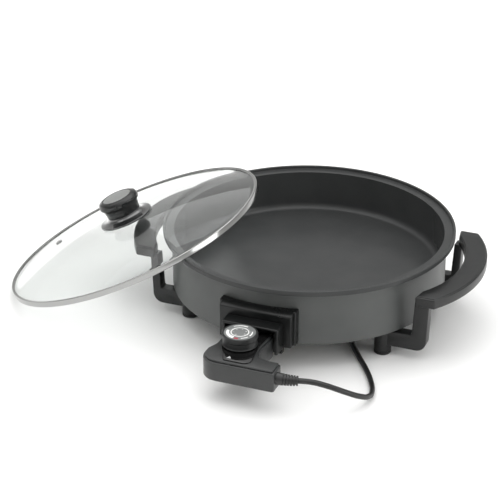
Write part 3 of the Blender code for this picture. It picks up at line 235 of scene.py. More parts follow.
# Dial
DIAL_X = -0.0020
DIAL_Y = -0.2500
DIAL_RADIUS = 0.0233
DIAL_HEIGHT = 0.0162
DIAL_ROUND = 0.0012
DIAL_CAP_HEIGHT = 0.0066
DIAL_GROOVE = 0.0010
DIAL_SKIRT_RADIUS = 0.0222
DIAL_BEAD = 0.0009
DIAL_FACE_RADIUS = 0.0205
DIAL_FACE_HEIGHT = 0.0005
DIAL_BOTTOM = PLATE_TOP + COLLAR_HEIGHT + GAP
PRINT_HEIGHT = 0.00008
INK_RING = (0.0106, 0.0119)
OFF_RADII = (0.0152, 0.0186)
NUMERAL_RADIUS = 0.0080
NUMERAL_SIZE = 0.0034
TICKS_A_STEP = 6
TICK_RADIUS = 0.0129
TICK_LENGTH = 0.0010
TICK_WIDTH = 0.00025

# Cord, its strain relief and its plug
CORD_RADIUS = 0.0036
CORD_Z = 0.0475
CORD_Y = -0.2867
RELIEF_LENGTH = 0.0265
RELIEF_BEND = 0.0038
RELIEF_START = 0.0585
RELIEF_COLLAR = 0.0085
RELIEF_TIP = 0.0064
RELIEF_GROOVE = 0.0015
RELIEF_RIBS = 5
CORD_REST_Z = 0.0038
COIL_Y = 0.2620
COIL_RADIUS = 0.0448
COIL_PITCH = 0.0090
COIL_LIFT = 0.0080
COIL_TURNS = 1
COIL_POINTS = 24
CORD_ROUTE = [
    (0.1060, -0.2785, 0.0470),
    (0.1250, -0.2725, 0.0420),
    (0.1440, -0.2620, 0.0320),
    (0.1580, -0.2460, 0.0200),
    (0.1640, -0.2250, 0.0095),
    (0.1610, -0.2020, 0.0048),
    (0.1500, -0.1760, CORD_REST_Z),
    (0.1340, -0.1490, CORD_REST_Z),
    (0.1160, -0.1230, CORD_REST_Z),
    (0.0980, -0.0950, CORD_REST_Z),
    (0.0800, -0.0620, CORD_REST_Z),
    (0.0620, -0.0160, CORD_REST_Z),
    (0.0500, 0.0400, CORD_REST_Z),
    (0.0440, 0.1000, CORD_REST_Z),
    (0.0440, 0.1600, CORD_REST_Z),
    (COIL_RADIUS, 0.2100, CORD_REST_Z),
    (COIL_RADIUS, 0.2400, CORD_REST_Z),
]
PLUG_Y = 0.2210
TAIL_ROUTE = [
    (-0.0480, 0.2380, 0.0105),
    (-0.0560, 0.2280, 0.0075),
    (-0.0700, 0.2220, 0.0045),
    (-0.0900, PLUG_Y, 0.0066),
    (-0.1030, PLUG_Y, 0.0120),
    (-0.1130, PLUG_Y, 0.0160),
]
PLUG_END_X = -0.1290
PLUG_Z = 0.0170
PLUG_RADIUS = 0.0165
PLUG_LENGTH = 0.0400
PLUG_PIN_RADIUS = 0.0024
PLUG_PIN_LENGTH = 0.0190
PLUG_PIN_SPACING = 0.0190

# Pan colours
PAN_PAINT = 0x4B4D4C
PAN_COATING = 0x393A3A

# Camera
CAMERA_PLACE = (0.87039, -2.14365, 1.2431)
CAMERA_TURN = (math.radians(63.50), 0, math.radians(21.68))
CAMERA_LENS = 135.8

pan_low, pan_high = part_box("pan")
SKILLET = Matrix.Translation(((pan_low.x + pan_high.x) / 2, (pan_low.y + pan_high.y) / 2, 0))
LID = SKILLET @ Matrix.LocRotScale(Vector(LID_PLACE), None, None) \
    @ Matrix.Rotation(LID_AZIMUTH, 4, "Z") @ Matrix.Rotation(LID_TILT, 4, "Y")
DIAL = SKILLET @ Matrix.Translation((DIAL_X, DIAL_Y, DIAL_BOTTOM))
FORWARD = Matrix.Rotation(QUARTER, 4, "X")


def add(tree, kind, links=None, **settings):
    """Adds a node: settings are its own, and links sets or joins its sockets."""
    made = tree.nodes.new(kind)
    for name, value in settings.items():
        setattr(made, name, value)
    for socket, value in (links or {}).items():
        if isinstance(value, tuple) and isinstance(value[0], bpy.types.Node):
            tree.links.new(value[0].outputs[value[1]], made.inputs[socket])
        else:
            made.inputs[socket].default_value = value
    return made


def maths(tree, operation, *values):
    """A maths node's result from one or two values, ready to be linked."""
    return add(tree, "ShaderNodeMath", dict(enumerate(values)), operation=operation), "Value"


def about_axis(tree, point):
    """A point's height along the Z axis and its distance from that axis."""
    parts = add(tree, "ShaderNodeSeparateXYZ", {"Vector": point})
    flat = add(tree, "ShaderNodeCombineXYZ", {"X": (parts, "X"), "Y": (parts, "Y")})
    radius = add(tree, "ShaderNodeVectorMath", {0: (flat, "Vector")}, operation="LENGTH")
    return (parts, "Z"), (radius, "Value")


def srgb(number):
    """An sRGB hex number as linear red, green, blue and alpha."""
    channels = [(number >> shift & 255) / 255 for shift in (16, 8, 0)]
    return (*[c / 12.92 if c <= 0.04045 else ((c + 0.055) / 1.055) ** 2.4 for c in channels], 1)


# ---------------------------------------------------------------- finishes

def finish(name, hex_colour, roughness, metallic=0.0):
    material = bpy.data.materials.new(name)
    material.use_nodes = True
    tree = material.node_tree
    shader = tree.nodes["Principled BSDF"]
    shader.inputs["Base Color"].default_value = srgb(hex_colour)
    shader.inputs["Roughness"].default_value = roughness
    shader.inputs["Metallic"].default_value = metallic
    return material, tree, shader


def patchy(tree, shader, size, dark, light, smooth, rough):
    """Colour and gloss that wander slowly over patches of the given size."""
    where = add(tree, "ShaderNodeTexCoord")
    noise = add(tree, "ShaderNodeTexNoise", {"Vector": (where, "Object"), "Scale": 1 / size, "Detail": 3.0})
    ramp = add(tree, "ShaderNodeValToRGB", {"Fac": (noise, "Fac")})
    ramp.color_ramp.elements[0].position = 0.3
    ramp.color_ramp.elements[0].color = srgb(dark)
    ramp.color_ramp.elements[1].position = 0.7
    ramp.color_ramp.elements[1].color = srgb(light)
    gloss = add(tree, "ShaderNodeMapRange", {"Value": (noise, "Fac"), "From Min": 0.3, "From Max": 0.7,
                                             "To Min": smooth, "To Max": rough})
    tree.links.new(ramp.outputs["Color"], shader.inputs["Base Color"])
    tree.links.new(gloss.outputs["Result"], shader.inputs["Roughness"])


def pebbled(tree, shader, size, depth):
    """A fine pebble in the surface, with grains of the given size and depth."""
    where = add(tree, "ShaderNodeTexCoord")
    noise = add(tree, "ShaderNodeTexNoise", {"Vector": (where, "Object"), "Scale": 1 / size, "Detail": 1.0})
    bump = add(tree, "ShaderNodeBump", {"Height": (noise, "Fac"), "Distance": depth, "Strength": 1.0})
    tree.links.new(bump.outputs["Normal"], shader.inputs["Normal"])


def turned_lines(tree, shader, place, spacing, depth, smooth, rough):
    """Rings about the axis of a place, as a lathe or a polishing wheel leaves them."""
    where = add(tree, "ShaderNodeTexCoord")
    local = add(tree, "ShaderNodeMapping", {"Vector": (where, "Object"), "Location": place.to_translation(),
                                            "Rotation": place.to_euler()}, vector_type="TEXTURE")
    height, radius = about_axis(tree, (local, "Vector"))
    rings = add(tree, "ShaderNodeCombineXYZ", {"X": radius, "Y": height})
    noise = add(tree, "ShaderNodeTexNoise", {"Vector": (rings, "Vector"), "Scale": 1 / spacing,
                                             "Detail": 2.0})
    gloss = add(tree, "ShaderNodeMapRange", {"Value": (noise, "Fac"), "From Min": 0.3, "From Max": 0.7,
                                             "To Min": smooth, "To Max": rough})
    bump = add(tree, "ShaderNodeBump", {"Height": (noise, "Fac"), "Distance": depth, "Strength": 1.0})
    tree.links.new(gloss.outputs["Result"], shader.inputs["Roughness"])
    tree.links.new(bump.outputs["Normal"], shader.inputs["Normal"])


def coated_inside(tree, shader):
    """Paint on the pan's outer wall and coating inside it and over the rim, each with its own gloss."""
    where = add(tree, "ShaderNodeTexCoord")
    local = add(tree, "ShaderNodeMapping", {"Vector": (where, "Object"),
                                            "Location": SKILLET.to_translation()}, vector_type="TEXTURE")
    height, radius = about_axis(tree, (local, "Vector"))
    within = maths(tree, "LESS_THAN", radius, WALL_RADIUS - WALL / 2)
    above = maths(tree, "GREATER_THAN", height, FLOOR_UNDER)
    inside = maths(tree, "MULTIPLY", within, above)
    rim = maths(tree, "GREATER_THAN", height, RIM_TOP - LIP_HEIGHT)
    coating = maths(tree, "MAXIMUM", inside, rim)
    noise = add(tree, "ShaderNodeTexNoise", {"Vector": (where, "Object"), "Scale": 1 / 0.045,
                                             "Detail": 3.0})
    shade = add(tree, "ShaderNodeMix", {"Factor": coating, "A": srgb(PAN_PAINT),
                                        "B": srgb(PAN_COATING)}, data_type="RGBA")
    drift = add(tree, "ShaderNodeMapRange", {"Value": (noise, "Fac"), "From Min": 0.3, "From Max": 0.7,
                                             "To Min": 0.92, "To Max": 1.08})
    colour = add(tree, "ShaderNodeHueSaturation", {"Color": (shade, "Result"), "Value": (drift, "Result")})
    gloss = add(tree, "ShaderNodeMapRange", {"Value": coating, "To Min": 0.42, "To Max": 0.26})
    index = add(tree, "ShaderNodeMapRange", {"Value": coating, "To Min": 1.50, "To Max": 1.35})
    tree.links.new(index.outputs["Result"], shader.inputs["IOR"])
    tree.links.new(colour.outputs["Color"], shader.inputs["Base Color"])
    tree.links.new(gloss.outputs["Result"], shader.inputs["Roughness"])


def make_finishes():
    """All finishes by their keys. Patches, pebble and rings are what patchy, pebbled and turned_lines take."""
    made = {}

    def coat(key, name, colour, roughness, metallic=0.0, patches=None, rings=None, pebble=None, other=None):
        material, tree, shader = finish(name, colour, roughness, metallic)
        for layer, values in ((patchy, patches), (turned_lines, rings), (pebbled, pebble)):
            if values:
                layer(tree, shader, *values)
        for socket, value in (other or {}).items():
            shader.inputs[socket].default_value = value
        made[key] = material
        return tree, shader

    # Cast aluminium pan. Outside, satin grey paint, sprayed and baked. Inside and over the rim, dark
    # non-stick coating with a soft gloss. The spray's pebble is 0.3 mm on the real pan and drawn at 0.9 mm.
    tree, shader = coat("pan", "cast_aluminium_painted_and_ptfe_coated", PAN_PAINT, 0.42,
                        pebble=(0.0009, 0.00002))
    coated_inside(tree, shader)

    # Phenolic resin, compression moulded in a lightly etched mould: near-black, soft sheen.
    # The etch is 0.15 mm on the real handle and drawn at 0.5 mm, so that it shows. It takes off some shine.
    coat("handle", "phenolic_moulded_etched", 0x151616, 0.32,
         patches=(0.030, 0x131414, 0x181919, 0.28, 0.38), pebble=(0.0005, 0.00003),
         other={"Specular IOR Level": 0.48})

    # Phenolic resin from a smoother mould: the socket is darker and a little glossier than the handles.
    coat("socket", "phenolic_moulded_satin", 0x131414, 0.30, patches=(0.025, 0x111212, 0x161717, 0.26, 0.36),
         pebble=(0.0006, 0.00001), other={"Specular IOR Level": 0.35})

    # Phenolic resin from a polished mould: black with sharp highlights on the knob.
    coat("knob", "phenolic_moulded_glossy", 0x1E1F1F, 0.07, patches=(0.012, 0x1B1C1C, 0x212222, 0.05, 0.09))

    # The knob's flange is the same resin, buffed and lacquered: the studio shows in it as in a dark mirror.
    coat("flange", "phenolic_buffed_and_lacquered", 0x1E1F1F, 0.06,
         patches=(0.012, 0x1C1D1D, 0x222323, 0.04, 0.08),
         other={"Specular IOR Level": 1.0, "Coat Weight": 1.0, "Coat Roughness": 0.03})

    # Soda-lime glass, press bent and tempered: clear, with a faint green cast in its edge.
    tree, shader = coat("glass", "soda_lime_glass_tempered", 0xFBFDFC, 0.0,
                        other={"IOR": 1.52, "Transmission Weight": 1.0})
    passed = add(tree, "ShaderNodeBsdfTransparent", {"Color": srgb(0xFAFBFB)})
    ray = add(tree, "ShaderNodeLightPath")
    both = add(tree, "ShaderNodeMixShader", {0: (ray, "Is Shadow Ray"), 1: (shader, "BSDF"),
                                             2: (passed, "BSDF")})
    tree.links.new(both.outputs["Shader"], tree.nodes["Material Output"].inputs["Surface"])

    # Stainless steel strip, rolled round the glass and polished: bright, with fine lines along the band.
    coat("band", "stainless_steel_rolled_polished", 0xA6A6A5, 0.14, 1.0,
         rings=(LID, 0.0004, 0.000004, 0.08, 0.18))

    # Stainless steel, deep drawn for the small vent eyelet: plain and bright.
    coat("eyelet", "stainless_steel_drawn", 0xA8A8A7, 0.25, 1.0, rings=(LID, 0.0003, 0.000003, 0.20, 0.32))

    # Aluminium disc, turned to a satin face: fine rings round the knob's axis.
    coat("inlay", "aluminium_satin_turned", 0xB4B6B5, 0.34, 1.0, rings=(LID, 0.0005, 0.000008, 0.28, 0.42))

    # ABS, injection moulded with a satin skin: dark grey, even, slightly glossy on its edges.
    # The skin's grain is 0.1 mm on the real one and drawn at 0.4 mm, so that it shows.
    coat("controller", "abs_moulded_satin_grey", 0x303131, 0.36,
         patches=(0.020, 0x2D2E2E, 0x343535, 0.32, 0.40), pebble=(0.0004, 0.000015))

    # Acrylic plate, cut and polished: gloss black under the dial.
    coat("plate", "acrylic_gloss_black", 0x141414, 0.07, patches=(0.020, 0x121212, 0x171717, 0.05, 0.10))

    # ABS, moulded dark for the dial's cap and skirt: satin.
    coat("dial", "abs_moulded_satin_dark", 0x242525, 0.34, patches=(0.010, 0x212222, 0x282929, 0.30, 0.40),
         pebble=(0.0004, 0.000015), other={"Specular IOR Level": 0.3})

    # Aluminium foil face, satin printed: mid grey with fine rings from its brushing.
    coat("face", "aluminium_foil_satin", 0x7E807F, 0.38, 0.3, rings=(DIAL, 0.0004, 0.000005, 0.32, 0.44))

    # Pad-printed ink, white, red and pale grey: flat and matt with thin places.
    for key, name, colour, worn in (("white_ink", "ink_pad_printed_white", 0xF2F2F0, 0xE2E2E0),
                                    ("red_ink", "ink_pad_printed_red", 0xA83240, 0x963040),
                                    ("grey_ink", "ink_pad_printed_grey", 0xBDBEBE, 0xAAABAB)):
        coat(key, name, colour, 0.5, patches=(0.0015, worn, colour, 0.45, 0.60))

    # Rubber, compression moulded: matt black feet with a dry bloom.
    coat("rubber", "rubber_moulded_matt", 0x1C1C1C, 0.75, patches=(0.006, 0x181818, 0x242424, 0.68, 0.85),
         pebble=(0.0006, 0.00003))

    # Soft PVC, extruded round the cores: black, smooth, with a low waxy gloss.
    coat("cord", "pvc_extruded_black", 0x1A1A1A, 0.38, patches=(0.015, 0x171717, 0x1F1F1F, 0.33, 0.46),
         pebble=(0.0008, 0.00002))

    # Soft PVC, moulded over the cord's ends: black, a little rougher than the jacket.
    coat("moulding", "pvc_moulded_black", 0x1D1D1D, 0.45, patches=(0.008, 0x1A1A1A, 0x232323, 0.32, 0.44),
         pebble=(0.0005, 0.00003))

    # Steel, zinc plated: bluish bright screws with a slightly uneven plating.
    coat("screw", "steel_zinc_plated", 0xB9BBBE, 0.28, 1.0, patches=(0.003, 0xAAACAF, 0xC4C6C9, 0.24, 0.36))

    # Stainless sheath of the heater, drawn and annealed: brown-grey, dull, mottled by heat.
    coat("element", "stainless_sheath_annealed", 0x807D78, 0.42, 1.0,
         patches=(0.018, 0x6B6660, 0x928F8A, 0.36, 0.52))

    # Brass, nickel plated: warm bright pins with light wear along their length.
    coat("pin", "brass_nickel_plated", 0xC8C4BC, 0.22, 1.0, patches=(0.004, 0xBDB8AE, 0xD0CCC4, 0.18, 0.30))

    # Brass tube, drawn: plain yellow metal, slightly tarnished.
    coat("brass", "brass_drawn", 0xB09A5A, 0.33, 1.0, patches=(0.006, 0x9C8548, 0xB9A463, 0.28, 0.42))

    # Stainless rod, centreless ground: bright with faint rings.
    coat("probe", "stainless_steel_ground", 0xC0C0C0, 0.22, 1.0,
         patches=(0.003, 0xB4B4B4, 0xC8C8C8, 0.18, 0.28))

    # Steatite, pressed and fired without glaze: chalky cream.
    coat("ceramic", "steatite_fired_unglazed", 0xE2DCCD, 0.75,
         patches=(0.005, 0xD9D2C1, 0xE8E3D6, 0.68, 0.82), pebble=(0.0006, 0.00003))

    # Polyamide, moulded in its natural colour: ivory and waxy.
    coat("polyamide", "polyamide_moulded_natural", 0xD8D2C2, 0.42,
         patches=(0.006, 0xD0C9B6, 0xDEDACD, 0.36, 0.50))

    # Silicone rubber, moulded: milky grey and soft looking.
    coat("silicone", "silicone_moulded", 0xC6C8C8, 0.55, patches=(0.005, 0xBEC0C0, 0xCED0D0, 0.50, 0.62))
    return made


# ---------------------------------------------------------------- geometry trees

def new_tree(name, inputs):
    tree = bpy.data.node_groups.new(name, "GeometryNodeTree")
    tree.interface.new_socket("Geometry", in_out="INPUT", socket_type="NodeSocketGeometry")
    for label, kind in inputs:
        tree.interface.new_socket(label, in_out="INPUT", socket_type="NodeSocket" + kind)
    tree.interface.new_socket("Finish", in_out="INPUT", socket_type="NodeSocketMaterial")
    tree.interface.new_socket("Geometry", in_out="OUTPUT", socket_type="NodeSocketGeometry")
    return tree, add(tree, "NodeGroupInput")


def end_tree(tree, source, geometry):
    real = add(tree, "GeometryNodeRealizeInstances", {"Geometry": geometry})
    coated = add(tree, "GeometryNodeSetMaterial", {"Geometry": (real, "Geometry"),
                                                   "Material": (source, "Finish")})
    add(tree, "NodeGroupOutput", {"Geometry": (coated, "Geometry")})
    return tree


def make_turned_tree():
    """Turns the object's own points, a profile in the XZ plane, about Z."""
    tree, source = new_tree("turned_on_a_lathe", [("Steps", "Int"), ("Merge Distance", "Float")])
    count = add(tree, "GeometryNodeAttributeDomainSize", {"Geometry": (source, "Geometry")})
    across = maths(tree, "ADD", (source, "Steps"), 1.0)
    grid = add(tree, "GeometryNodeMeshGrid", {"Vertices X": across,
                                              "Vertices Y": (count, "Point Count")})
    index = add(tree, "GeometryNodeInputIndex")
    ratio = maths(tree, "DIVIDE", (index, "Index"), (count, "Point Count"))
    turn = maths(tree, "FLOOR", ratio)
    passed = maths(tree, "MULTIPLY", turn, (count, "Point Count"))
    along = maths(tree, "SUBTRACT", (index, "Index"), passed)
    own = add(tree, "GeometryNodeInputPosition")
    point = add(tree, "GeometryNodeSampleIndex", {"Geometry": (source, "Geometry")},
                data_type="FLOAT_VECTOR")
    tree.links.new(own.outputs["Position"], point.inputs["Value"])
    tree.links.new(along[0].outputs["Value"], point.inputs["Index"])
    share = maths(tree, "DIVIDE", turn, (source, "Steps"))
    angle = maths(tree, "MULTIPLY", share, 2 * math.pi)
    spun = add(tree, "ShaderNodeVectorRotate", {"Vector": (point, "Value"), "Angle": angle},
               rotation_type="Z_AXIS")
    wrapped = add(tree, "GeometryNodeSetPosition", {"Geometry": (grid, "Mesh"),
                                                    "Position": (spun, "Vector")})
    closed = add(tree, "GeometryNodeMergeByDistance", {"Geometry": (wrapped, "Geometry"),
                                                       "Distance": (source, "Merge Distance")})
    return end_tree(tree, source, (closed, "Geometry"))


def make_relief_tree():
    """A tapered sleeve along the object's own line, with ribs after its plain collar."""
    tree, source = new_tree("ribbed_strain_relief", [
        ("Collar Radius", "Float"), ("Tip Radius", "Float"), ("Groove Depth", "Float"), ("Ribs", "Int"),
        ("Collar Share", "Float"), ("Groove Share", "Float"), ("Points", "Int"), ("Sides", "Int")])
    line = add(tree, "GeometryNodeMeshToCurve", {"Mesh": (source, "Geometry")})
    even = add(tree, "GeometryNodeResampleCurve", {"Curve": (line, "Curve"), "Count": (source, "Points")})
    where = add(tree, "GeometryNodeSplineParameter")
    taper = add(tree, "ShaderNodeMapRange", {"Value": (where, "Factor"), "To Min": (source, "Collar Radius"),
                                             "To Max": (source, "Tip Radius")})
    past = add(tree, "ShaderNodeMapRange", {"Value": (where, "Factor"), "From Min": (source, "Collar Share"),
                                            "To Max": (source, "Ribs")})
    pulse = maths(tree, "FRACT", (past, "Result"))
    low = maths(tree, "LESS_THAN", pulse, (source, "Groove Share"))
    ribbed = maths(tree, "GREATER_THAN", (where, "Factor"), (source, "Collar Share"))
    both = maths(tree, "MULTIPLY", low, ribbed)
    depth = maths(tree, "MULTIPLY", both, (source, "Groove Depth"))
    radius = maths(tree, "SUBTRACT", (taper, "Result"), depth)
    ring = add(tree, "GeometryNodeCurvePrimitiveCircle", {"Resolution": (source, "Sides"), "Radius": 1.0})
    skin = add(tree, "GeometryNodeCurveToMesh", {"Curve": (even, "Curve"), "Profile Curve": (ring, "Curve"),
                                                 "Scale": radius, "Fill Caps": True})
    return end_tree(tree, source, (skin, "Mesh"))


def make_screw_tree():
    """A cross-head screw on each point of the object, its head facing the point's own direction."""
    tree, source = new_tree("cross_head_screws", [
        ("Head Radius", "Float"), ("Head Height", "Float"), ("Shaft Radius", "Float"),
        ("Shaft Length", "Float"), ("Recess Width", "Float"), ("Sides", "Int")])
    crown = maths(tree, "MULTIPLY", (source, "Head Radius"), 0.78)
    head = add(tree, "GeometryNodeMeshCone", {"Vertices": (source, "Sides"), "Radius Top": crown,
                                              "Radius Bottom": (source, "Head Radius"),
                                              "Depth": (source, "Head Height")})
    reach = maths(tree, "MULTIPLY", (source, "Head Radius"), 1.1)
    tall = add(tree, "ShaderNodeCombineXYZ", {"X": reach, "Y": (source, "Recess Width"),
                                              "Z": (source, "Head Height")})
    wide = add(tree, "ShaderNodeCombineXYZ", {"X": (source, "Recess Width"), "Y": reach,
                                              "Z": (source, "Head Height")})
    lift = add(tree, "ShaderNodeCombineXYZ", {"Z": (source, "Head Height")})
    first = add(tree, "GeometryNodeMeshCube", {"Size": (tall, "Vector")})
    second = add(tree, "GeometryNodeMeshCube", {"Size": (wide, "Vector")})
    raised = add(tree, "GeometryNodeTransform", {"Geometry": (first, "Mesh"),
                                                 "Translation": (lift, "Vector")})
    crossed = add(tree, "GeometryNodeTransform", {"Geometry": (second, "Mesh"),
                                                  "Translation": (lift, "Vector")})
    slotted = add(tree, "GeometryNodeMeshBoolean", {"Mesh 1": (head, "Mesh")}, operation="DIFFERENCE",
                  solver="EXACT")
    tree.links.new(raised.outputs["Geometry"], slotted.inputs["Mesh 2"])
    tree.links.new(crossed.outputs["Geometry"], slotted.inputs["Mesh 2"])
    down = maths(tree, "MULTIPLY", (source, "Shaft Length"), -0.5)
    drop = add(tree, "ShaderNodeCombineXYZ", {"Z": down})
    rod = add(tree, "GeometryNodeMeshCylinder", {"Vertices": (source, "Sides"),
                                                 "Radius": (source, "Shaft Radius"),
                                                 "Depth": (source, "Shaft Length")})
    shaft = add(tree, "GeometryNodeTransform", {"Geometry": (rod, "Mesh"), "Translation": (drop, "Vector")})
    screw = add(tree, "GeometryNodeJoinGeometry")
    tree.links.new(slotted.outputs["Mesh"], screw.inputs["Geometry"])
    tree.links.new(shaft.outputs["Geometry"], screw.inputs["Geometry"])
    facing = add(tree, "GeometryNodeInputNamedAttribute", {"Name": "facing"}, data_type="FLOAT_VECTOR")
    aimed = add(tree, "FunctionNodeAlignRotationToVector", {"Vector": (facing, "Attribute")}, axis="Z")
    placed = add(tree, "GeometryNodeInstanceOnPoints", {"Points": (source, "Geometry"),
                                                        "Instance": (screw, "Geometry"),
                                                        "Rotation": (aimed, "Rotation")})
    return end_tree(tree, source, (placed, "Instances"))


def make_scale_tree():
    """Printed ticks spaced evenly round the object's origin."""
    tree, source = new_tree("ring_of_ticks", [
        ("Ticks", "Int"), ("Radius", "Float"), ("First Angle", "Float"), ("Angle Between", "Float"),
        ("Tick Length", "Float"), ("Tick Width", "Float"), ("Tick Height", "Float")])
    index = add(tree, "GeometryNodeInputIndex")
    gone = maths(tree, "MULTIPLY", (index, "Index"), (source, "Angle Between"))
    angle = maths(tree, "ADD", gone, (source, "First Angle"))
    out = add(tree, "ShaderNodeCombineXYZ", {"X": (source, "Radius")})
    spun = add(tree, "ShaderNodeVectorRotate", {"Vector": (out, "Vector"), "Angle": angle},
               rotation_type="Z_AXIS")
    points = add(tree, "GeometryNodePoints", {"Count": (source, "Ticks"), "Position": (spun, "Vector")})
    size = add(tree, "ShaderNodeCombineXYZ", {"X": (source, "Tick Length"), "Y": (source, "Tick Width"),
                                              "Z": (source, "Tick Height")})
    tick = add(tree, "GeometryNodeMeshCube", {"Size": (size, "Vector")})
    turn = add(tree, "ShaderNodeCombineXYZ", {"Z": angle})
    placed = add(tree, "GeometryNodeInstanceOnPoints", {"Points": (points, "Points"),
                                                        "Instance": (tick, "Mesh"),
                                                        "Rotation": (turn, "Vector")})
    return end_tree(tree, source, (placed, "Instances"))


# ---------------------------------------------------------------- shapes

def holder(mesh):
    obj = bpy.data.objects.new(mesh.name, mesh)
    bpy.context.scene.collection.objects.link(obj)
    return obj


def settled(obj, place=SKILLET):
    """The object as a plain mesh moved to its place. The object and its cutting tools are cleared away."""
    bpy.context.view_layer.update()
    mesh = bpy.data.meshes.new_from_object(obj.evaluated_get(bpy.context.evaluated_depsgraph_get()))
    mesh.name = obj.name
    tools = [modifier.object for modifier in obj.modifiers if modifier.type == "BOOLEAN"]
    for used in [obj] + tools:
        bpy.data.objects.remove(used)
    shape = bmesh.new()
    shape.from_mesh(mesh)
    bmesh.ops.remove_doubles(shape, verts=shape.verts, dist=MERGE)
    bmesh.ops.recalc_face_normals(shape, faces=shape.faces)
    shape.to_mesh(mesh)
    shape.free()
    mesh.transform(place)
    return mesh


def grown(tree, name, mesh, key, place, values):
    """The plain mesh that a geometry tree makes from a mesh, with the tree's inputs by their labels."""
    obj = holder(mesh)
    obj.name = name
    modifier = obj.modifiers.new("tree", "NODES")
    modifier.node_group = tree
    sockets = {item.name: item.identifier for item in tree.interface.items_tree if item.in_out == "INPUT"}
    modifier[sockets["Finish"]] = finishes[key]
    for label, value in values.items():
        modifier[sockets[label]] = value
    return settled(obj, place)


def merged(name, meshes):
    """Several meshes as one."""
    shape = bmesh.new()
    for mesh in meshes:
        shape.from_mesh(mesh)
    whole = bpy.data.meshes.new(name)
    shape.to_mesh(whole)
    shape.free()
    return whole


def show(name, mesh, key, body, nodes=()):
    """A finished piece: it rides on its body and stands for its nodes."""
    mesh.name = name
    mesh.materials.clear()
    mesh.materials.append(finishes[key])
    mesh.shade_smooth()
    mesh.set_sharp_from_angle(angle=CREASE)
    obj = holder(mesh)
    obj.name = name
    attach(obj, body)
    if nodes:
        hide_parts(*nodes)
    return obj


def rounded(corners, closed=True):
    """Points through (x, y, radius) corners, each turned into an arc of that radius."""
    line = []
    for i, (x, y, radius) in enumerate(corners):
        corner = Vector((x, y))
        if radius == 0 or (not closed and i in (0, len(corners) - 1)):
            line.append(corner)
            continue
        before = Vector(corners[i - 1][:2]) - corner
        after = Vector(corners[(i + 1) % len(corners)][:2]) - corner
        half = before.angle(after) / 2
        to_centre = (before.normalized() + after.normalized()).normalized() * radius / math.sin(half)
        centre = corner + to_centre
        start = corner + before.normalized() * radius / math.tan(half) - centre
        end = corner + after.normalized() * radius / math.tan(half) - centre
        turn = start.angle_signed(end)
        count = max(2, math.ceil(abs(turn) / CORNER_TURN) + 1)
        for step in range(count):
            line.append(centre + Matrix.Rotation(-turn * step / (count - 1), 2) @ start)
    return line


def arc(centre_x, centre_y, radius, start, end, count):
    """Points on an arc, both ends included."""
    angles = [start + (end - start) * i / (count - 1) for i in range(count)]
    return [(centre_x + radius * math.cos(a), centre_y + radius * math.sin(a)) for a in angles]


def turned(name, profile, place=SKILLET, steps=PART_STEPS):
    """A lathe piece from (radius, height) points. A ring's profile ends where it began."""
    mesh = bpy.data.meshes.new(name)
    mesh.from_pydata([(radius, 0, height) for radius, height in profile], [], [])
    return grown(turned_tree, name, mesh, "pan", place, {"Steps": steps, "Merge Distance": MERGE})


def slab(name, outline, low, high):
    """A flat outline given thickness from low to high."""
    mesh = bpy.data.meshes.new(name)
    shape = bmesh.new()
    bottom = [shape.verts.new((x, y, low)) for x, y in outline]
    top = [shape.verts.new((x, y, high)) for x, y in outline]
    shape.faces.new(bottom)
    shape.faces.new(top)
    for i in range(len(outline)):
        shape.faces.new((bottom[i - 1], bottom[i], top[i], top[i - 1]))
    bmesh.ops.recalc_face_normals(shape, faces=shape.faces)
    shape.to_mesh(mesh)
    shape.free()
    return holder(mesh)


def block(name, low, high):
    corners = [(low[0], low[1]), (high[0], low[1]), (high[0], high[1]), (low[0], high[1])]
    return slab(name, corners, low[2], high[2])


def bevelled(obj, width, segments=4, angle=math.radians(40)):
    modifier = obj.modifiers.new("edges", "BEVEL")
    modifier.width = width
    modifier.segments = segments
    modifier.limit_method = "ANGLE"
    modifier.angle_limit = angle
    return obj


def combined(obj, tool, operation):
    modifier = obj.modifiers.new(tool.name, "BOOLEAN")
    modifier.operation = operation
    modifier.solver = "EXACT"
    modifier.object = tool
    return obj


def rod(name, radius, low, high, place, steps=SMALL_STEPS):
    """A plain round tool for cutting, about the Z axis of a place."""
    profile = [(0, high), (radius, high), (radius, low), (0, low)]
    return holder(turned(name, profile, place, steps))


def swept(name, points, radius, sides):
    """A round tube along points."""
    curve = bpy.data.curves.new(name, "CURVE")
    curve.dimensions = "3D"
    curve.bevel_depth = radius
    curve.bevel_resolution = sides
    curve.use_fill_caps = True
    spline = curve.splines.new("POLY")
    spline.points.add(len(points) - 1)
    for point, where in zip(spline.points, points):
        point.co = (*where, 1)
    return settled(holder(curve))


def screws(name, places, sizes, body, nodes):
    """Cross-head screws from (seat, facing) pairs in the skillet's own frame."""
    head, height, shaft, length = sizes
    mesh = bpy.data.meshes.new(name)
    mesh.from_pydata([SKILLET @ Vector(seat) for seat, facing in places], [], [])
    facing = mesh.attributes.new("facing", "FLOAT_VECTOR", "POINT")
    for i, (seat, direction) in enumerate(places):
        facing.data[i].vector = direction
    made = grown(screw_tree, name, mesh, "screw", Matrix.Identity(4), {
        "Head Radius": head, "Head Height": height, "Shaft Radius": shaft, "Shaft Length": length,
        "Recess Width": head * RECESS_SHARE, "Sides": SCREW_SIDES})
    return show(name, made, "screw", body, nodes)


# ---------------------------------------------------------------- camera and cord

def build_camera():
    camera = bpy.data.objects.new("camera", bpy.data.cameras.new("camera"))
    bpy.context.scene.collection.objects.link(camera)
    camera.location = CAMERA_PLACE
    camera.rotation_euler = CAMERA_TURN
    camera.data.lens = CAMERA_LENS
    bpy.context.scene.camera = camera


